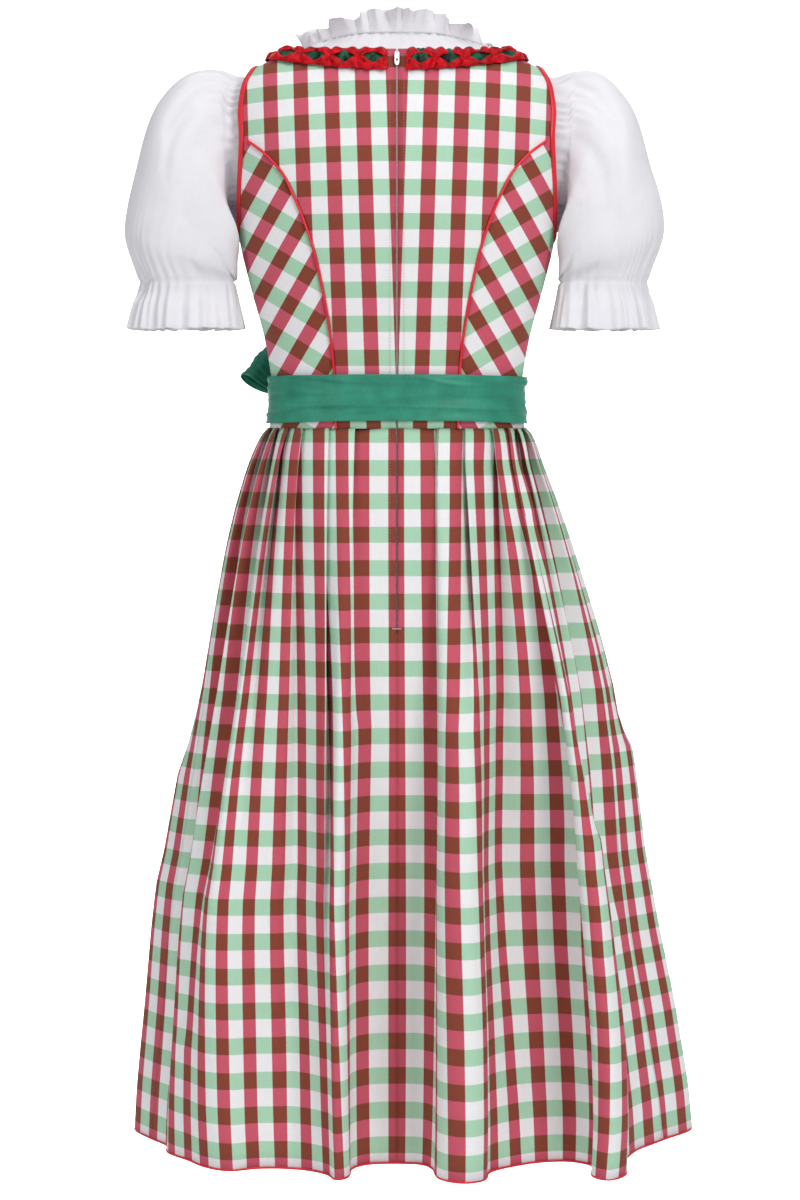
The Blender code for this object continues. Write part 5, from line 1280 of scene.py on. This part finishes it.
def lip(name, first, last, seed):
    """A puffed edge of the ribbon, from its outer fold to the mouth, where it turns under."""
    rows = []
    full = 0.60 + 0.40 * pressed(from_tack - 0.0058, 0.0040) - 0.24 * at_tack
    for share in np.linspace(0, 1, 19):
        below = first + (last - first) * share
        puff = PUFF * math.sin(math.pi * (0.05 + 0.72 * share)) ** 0.65 * full
        creased = creases(below, seed) * math.sin(math.pi * min(0.1 + share, 1))
        rows.append(on_bodice(below, LIP_OUT + puff + creased))
    edge = PUFF * math.sin(math.pi * 0.77) ** 0.65 * full
    for share in (0.35, 0.7, 1.0):
        rows.append(on_bodice(last + (first - last) * 0.16 * share, LIP_OUT + edge * (1 - share)))
    cut = np.stack(np.meshgrid(at * 1.3, np.linspace(0, 0.020, len(rows))), -1)
    cloth_piece(name, "neck_ruche", "red_satin", bright_red, np.array(rows), cut,
                (float(at[-1] * 1.20), 0.0195), "gathered", thick=0.0005, centre=(0, 0, -0.20),
                rests_on=["bodice_back_left_cotton", "bodice_front_cotton"])


# the outer folds bulge beside each tack and are drawn in at it; on one side the fold also gapes at the top
bulge = 0.0016 * pressed(from_tack - 0.0062, 0.0045) - 0.0010 * at_tack
gape = 0.0062 * right_side * np.clip(1 - np.abs(from_tack - step / 2) / 0.0062, 0, 1)
lip("ruche_upper_lip", 0.0022 - bulge + gape, np.maximum(middle - opening, LINING_INSET + gape), 1.0)
lip("ruche_lower_lip", RUCHE_WIDE + bulge, middle + opening, 4.0)
rows = []
for share in np.linspace(0, 1, 15):
    below = LINING_INSET + (RUCHE_WIDE - 2 * LINING_INSET) * (share + (0.5 - share) * 0.5 * at_tack)
    pleats = 0.0016 * np.sin(from_tack * 420 + 2.4 * share + which * 1.7) * (1 - at_tack)
    lift = 0.0004 + (0.0006 + 0.0018 * math.sin(math.pi * share)) * (1 - at_tack)
    rows.append(on_bodice(below, lift + np.maximum(pleats, -0.0006)))
cut = np.stack(np.meshgrid(at * 1.2, np.linspace(0, 0.021, 15)), -1)
cloth_piece("ruche_green_lining", "neck_ruche", "green_satin", dark_satin, np.array(rows), cut,
            (float(at[-1] * 1.10), 0.0205), "gathered", rests_on=["bodice_back_left_cotton"], thick=0.0004,
            centre=(0, 0, -0.20))
# the tacks that hold the mouths shut
tack_rows = [[edge_line[k] + into[k] * (middle[k] + d) + edge_out[k] * 0.0026 for d in (-0.0016, 0.0016)]
             for k in range(UNIT_COLUMNS, len(at) - 1, UNIT_COLUMNS)]
stitches("ruche_tacks", "red_satin", bright_red, tack_rows, 0.0011, 0.0016, 0.0006)

# ==== ZIP ====
# A closed coil zip in the centre back seam: tape under both edges, the coil just inside the slit,
# and a slider at the neck whose pull tab hangs from a bar and turns on it.
TAPE_WIDE, TEETH_STEP = 0.012, 0.0011
SLIDER_Z, TAB_LONG, TAB_WIDE, TAB_THICK, TAB_TILT = -0.0010, 0.0178, 0.0046, 0.0010, math.radians(8)
HINGE_OUT = 0.0035


def tape_finish():
    """Woven tape, finely ribbed along its length."""
    finish = Finish("zip_tape", rough=0.8, specular=0.2)
    place = finish.node("ShaderNodeTexCoord", out=3)
    rib = finish.noise(finish.scaled(place, 2600, 1, 500), 1.0, 2.0)
    finish.feed("Base Color", finish.mix(rib, rgb(140, 92, 102), rgb(186, 140, 150)))
    finish.bump(rib, 0.0005, 0.6)
    return finish.material


def metal_finish(name, dark, light, rough, metallic):
    """Metal or nylon, a little uneven."""
    finish = Finish(name, rough=rough, specular=0.5, Metallic=metallic)
    uneven = finish.noise(finish.node("ShaderNodeTexCoord", out=3), 900.0, 3.0)
    finish.feed("Base Color", finish.mix(uneven, dark, light))
    finish.feed("Roughness", rough - 0.06 + uneven * 0.12)
    finish.bump(uneven, 0.0002, 0.3)
    return finish.material


tape, coil_finish = tape_finish(), metal_finish("zip_coil", rgb(178, 152, 162), rgb(222, 204, 212), 0.45, 0.0)
zip_metal = metal_finish("zip_metal", rgb(206, 206, 212), rgb(240, 240, 244), 0.30, 0.55)

half = HalfSkirt("left")


def centre_depth(z):
    """How far back the cloth's centre lies at a height, on the skirt or on the bodice."""
    return half.hull(0.0, 0.0, share_down(z))[1] if z < WAIST_Z else form_surface(0.0, z)[1]


heights = np.concatenate([np.linspace(ZIP_END_Z, WAIST_Z, 40), np.linspace(WAIST_Z + 0.006, 0.002, 60)])
below = np.clip((WAIST_Z + 0.02 - heights) / 0.02, 0, 1)
depth = np.array([centre_depth(z) for z in heights]) - 0.0026 - 0.0016 * below
tape_across = np.linspace(-TAPE_WIDE / 2, TAPE_WIDE / 2, 9)
grid = np.stack(np.broadcast_arrays(tape_across, depth[:, None], heights[:, None]), -1)
tape_long = float(run_length(np.stack([depth, heights], 1))[-1])
cloth_piece("zip_tape_cloth", "zip_tape", "zip_tape", tape, grid, grid[..., (0, 2)], (TAPE_WIDE, tape_long),
            "stretched", rests_on=["bodice_back_left_cotton"], thick=0.0006, centre=(0, -0.2, -0.3))

# the coil: two rows of rounded teeth, each one set across the zip
TOOTH_WIDE, COIL_OUT = 0.0016, 0.0016
coil_tree = bead_row("zip coil", "Z", ("Width", "Width", "Step"), Step="Float", Width="Float")
lines = [np.stack([np.full(len(heights), x), depth + COIL_OUT, heights], 1)[:-1] for x in (-0.0007, 0.0007)]
placed(grown("zip_coil", coil_tree, lines, coil_finish, Step=TEETH_STEP, Width=TOOTH_WIDE), "zip_tape")


def rounded_plate(outline, low, high, soft):
    """A flat plate with a soft edge: rings of an outline, shrunk a little at its two faces."""
    outline = np.array(outline)
    middle = outline.mean(0)
    half = ((low, soft), (low + soft * 0.4, soft * 0.3), (low + soft, 0))
    rings = []
    for z, inset in (*half, (high - soft, 0), (high - soft * 0.4, soft * 0.3), (high, soft)):
        ring = outline - unit(outline - middle) * inset
        rings.append(np.column_stack([ring, np.full(len(ring), z)]))
    return np.array(rings)


top, out = form_surface(0.0, SLIDER_Z), form_normal(0.0, SLIDER_Z)
across = np.array([1.0, 0, 0])
down = unit(np.cross(across, out))
down = down * -math.copysign(1, down[2])


def set_on_slider(points):
    """Local points (across, down, out) on the slider."""
    return top + points[..., :1] * across + points[..., 1:2] * down + points[..., 2:] * out


def slider_plate(name, outline, low, high, soft, smooth=True):
    """A plate of the slider, its outline given across and down, its faces at two heights over the coil."""
    rings = rounded_plate(outline, low, high, soft)
    count, sides = rings.shape[:2]
    ends = [tuple(range(sides))[::-1], tuple((count - 1) * sides + s for s in range(sides))]
    piece = mesh_piece(name, set_on_slider(rings), ring_faces(count, sides, False) + ends, zip_metal, smooth)
    facing_out(piece.data)
    return piece


# the slider: a plate with rounded shoulders on each side of the coil, joined by a neck, and the bar
BAR_STEPS = 21
shield = [(0.0029 * math.sin(t) * (0.84 + 0.16 * math.cos(t)), -0.0003 - 0.0047 * math.cos(t))
          for t in np.linspace(0, 2 * math.pi, 41)[:-1]]
neck_outline = ((-0.0004, -0.0045), (0.0004, -0.0045), (0.0004, -0.0030), (-0.0004, -0.0030))
bar_turns = np.linspace(0, math.pi, BAR_STEPS)
bar = np.stack([np.zeros(BAR_STEPS), 0.0030 * np.cos(bar_turns), 0.0016 + 0.0034 * np.sin(bar_turns)], -1)
pieces = [slider_plate("zip_slider_top", shield, 0.0007, 0.0014, 0.0003),
          slider_plate("zip_slider_under", shield, -0.0036, -0.0028, 0.0003),
          slider_plate("zip_slider_neck", neck_outline, -0.0030, 0.0012, 0.0001, smooth=False),
          grown("zip_slider_bar", cord_tree, [set_on_slider(bar)], zip_metal, Thickness=0.0010, Sides=12)]
for piece in pieces:
    placed(piece, "zip_metal", "zip_slider")

# the pull tab: a rounded plate with an eye for the bar and a long oval hole below it
tab_down = math.cos(TAB_TILT) * down - math.sin(TAB_TILT) * out
tab_out = math.cos(TAB_TILT) * out + math.sin(TAB_TILT) * down
hinge = top + out * HINGE_OUT


def ring_line(centre, half_wide, half_long, count, squareness):
    """A rounded ring in the tab's plane: squareness 2 is an ellipse, and more is squarer."""
    t = np.linspace(0, 2 * math.pi, count, endpoint=False)
    across, along = (signed_power(f, 2 / squareness) for f in (np.cos(t), np.sin(t)))
    return np.stack([half_wide * across, centre + half_long * along], 1)


def tab_plate(name, outer, holes):
    """The tab's plate: its outline and its holes, cut out of one face and thickened."""
    shape = bmesh.new()
    for line in (outer, *holes):
        made = [shape.verts.new((*p, 0)) for p in line]
        for i in range(len(made)):
            shape.edges.new((made[i], made[(i + 1) % len(made)]))
    bmesh.ops.triangle_fill(shape, use_beauty=True, use_dissolve=False, edges=shape.edges[:])
    mesh = bpy.data.meshes.new(name)
    shape.to_mesh(mesh)
    shape.free()
    flat = np.empty(len(mesh.vertices) * 3, np.float32)
    mesh.vertices.foreach_get("co", flat)
    flat = flat.reshape(-1, 3).astype(float)
    spots = hinge + flat[:, :1] * across + flat[:, 1:2] * tab_down + flat[:, 2:] * tab_out
    mesh.vertices.foreach_set("co", (spots + tab_out * TAB_THICK / 2).reshape(-1).astype(np.float32))
    mesh.materials.append(zip_metal)
    piece = in_scene(name, mesh)
    wall = piece.modifiers.new("plate thickness", "SOLIDIFY")
    wall.thickness, wall.offset, wall.use_even_offset = TAB_THICK, 0, False
    edge = piece.modifiers.new("soft edge", "BEVEL")
    edge.width, edge.segments, edge.limit_method = 0.00018, 3, "ANGLE"
    facing_out(piece.data)
    return piece


outer = ring_line(TAB_LONG / 2 - 0.0014, TAB_WIDE / 2, TAB_LONG / 2, 72, 3.6)
eye = ring_line(0.0, 0.0012, 0.0008, 24, 2.6)
oval = ring_line(0.0098, 0.0010, 0.0018, 24, 2.2)
placed(tab_plate("zip_pull_tab_metal", outer, (eye, oval)), "zip_metal", "zip_pull_tab", body="zip_pull")

# the bar tack across the end of the zip
BAR_TACK_Z, BAR_TACK_REACH = -0.560, 0.0042
tack_y = centre_depth(BAR_TACK_Z) + 0.0006
lines = [[(x, tack_y, BAR_TACK_Z + d) for x in (-BAR_TACK_REACH, BAR_TACK_REACH)] for d in (-0.0004, 0.0004)]
stitches("zip_bar_tack", "zip_tape", coil_finish, lines, 0.0007, 0.0010, 0.0006)

# ==== TOPSTITCHING ====
# A row of stitches down each side of the zip, from the neck to the end of the zip below the waist,
# that holds the folded edge of the cloth flat on the tape.
STITCH_OUT, ZIP_STITCH = 0.0009, 0.0068               # out of the cloth, and from the centre of the zip
# its dark and light pinks: the thread's own colour, spread into painted shade and painted highlights
seam_thread = satin("seam_thread", rgb(196, 120, 134), rgb(226, 160, 170), rough=0.6, specular=0.2)


def skirt_line(grid, across):
    """Points down the back of a skirt half at one distance from the centre seam."""
    near = slice(8)                       # the columns nearest to the seam
    return np.array([[across * math.copysign(1, row[5, 0]),
                      np.interp(across, np.abs(row[near, 0]), row[near, 1]) + STITCH_OUT,
                      np.interp(across, np.abs(row[near, 0]), row[near, 2])] for row in grid])


lines = []
for hand, way in HANDS:
    heights = np.linspace(WAIST_Z + 0.004, NECK_BACK_Z - 0.028, 60)
    angles = np.array([form_angle(ZIP_STITCH, z) for z in heights]) * way
    lines.append(form(angles, heights, STITCH_OUT))
    down_back = skirt_line(halves[hand][0], ZIP_STITCH)
    lines.append(down_back[down_back[:, 2] > ZIP_END_Z])
stitches("zip_topstitch", "check_cotton", seam_thread, lines, 0.0030, 0.0022, 0.00045)

# ==== FLOOR, LIGHT AND CAMERA ====
# A pale studio sweep that the dress hangs in front of, as on a stand, soft light from large boxes,
# and the camera behind the dress at the height of its waist.
FLOOR_Z, SWEEP_START, SWEEP_RADIUS, SWEEP_WIDE = -1.42, -1.6, 1.6, 1.5
floor_finish = Finish("studio_floor", rough=0.95, specular=0.0)
floor_finish.shader.inputs["Base Color"].default_value = (0.97, 0.97, 0.97, 1)
# clear when seen from its back, so that the front of the dress can be looked at too
nodes, links = floor_finish.material.node_tree.nodes, floor_finish.material.node_tree.links
one_way, clear = nodes.new("ShaderNodeMixShader"), nodes.new("ShaderNodeBsdfTransparent")
links.new(nodes.new("ShaderNodeNewGeometry").outputs["Backfacing"], one_way.inputs[0])
links.new(floor_finish.shader.outputs[0], one_way.inputs[1])
links.new(clear.outputs[0], one_way.inputs[2])
links.new(one_way.outputs[0], next(n for n in nodes if n.type == "OUTPUT_MATERIAL").inputs[0])
bend = np.linspace(0, math.pi / 2, 24)
curve = [(SWEEP_START - SWEEP_RADIUS * math.sin(t), FLOOR_Z + SWEEP_RADIUS * (1 - math.cos(t))) for t in bend]
profile = [(6.0, FLOOR_Z), *curve, (SWEEP_START - SWEEP_RADIUS, 5.0)]
points = np.array([[(x, y, z) for x in (-SWEEP_WIDE, SWEEP_WIDE)] for y, z in profile])
faces = [(2 * i, 2 * i + 2, 2 * i + 3, 2 * i + 1) for i in range(len(profile) - 1)]
mesh_piece("studio_floor", points, faces, floor_finish.material)

world = bpy.data.worlds.new("studio")
world.use_nodes = True
background = world.node_tree.nodes["Background"].inputs
background["Color"].default_value, background["Strength"].default_value = (1, 1, 1, 1), 0.41
bpy.context.scene.world = world


def lamp(name, kind, place, aim, **settings):
    """A light at a place, turned to face a point."""
    light = bpy.data.lights.new(name, kind)
    for setting, value in settings.items():
        setattr(light, setting, value)
    made = in_scene(name, light)
    made.location = place
    made.rotation_euler = (Vector(aim) - Vector(place)).to_track_quat("-Z", "Y").to_euler()


for name, place, aim, wide, tall, power in (("key", (-1.8, 2.6, 1.3), (0, 0, -0.5), 1.2, 1.6, 56),
                                            ("fill", (2.4, 2.6, 0.3), (0, 0, -0.6), 1.6, 2.0, 25),
                                            ("top", (0.0, 0.5, 2.1), (0, 0, -0.3), 2.0, 1.2, 17)):
    lamp(name, "AREA", place, aim, shape="RECTANGLE", size=wide, size_y=tall, energy=power)
# lamps that light only the backdrop, so that the sleeves' edges stay clear of it
for name, side in (("sweep_left", -1), ("sweep_right", 1)):
    lamp(name, "SPOT", (2.5 * side, -0.9, 1.2), (-0.2 * side, -3.2, -0.5), energy=620,
         spot_size=math.radians(82), spot_blend=0.6, shadow_soft_size=0.4)

camera = bpy.data.cameras.new("camera")
camera.sensor_fit, camera.sensor_height, camera.sensor_width = "VERTICAL", 36, 24
camera.lens = 120
# the frame's middle lies a little below the camera's own height
CAMERA_PLACE, CAMERA_DROP = (-0.003, 4.0, -0.343), 0.195
view = in_scene("camera", camera)
view.location = CAMERA_PLACE
view.rotation_euler = (math.pi / 2 - math.atan(CAMERA_DROP / CAMERA_PLACE[1]), 0, math.pi)
bpy.context.scene.camera = view
bpy.context.scene.view_settings.view_transform = "Standard"
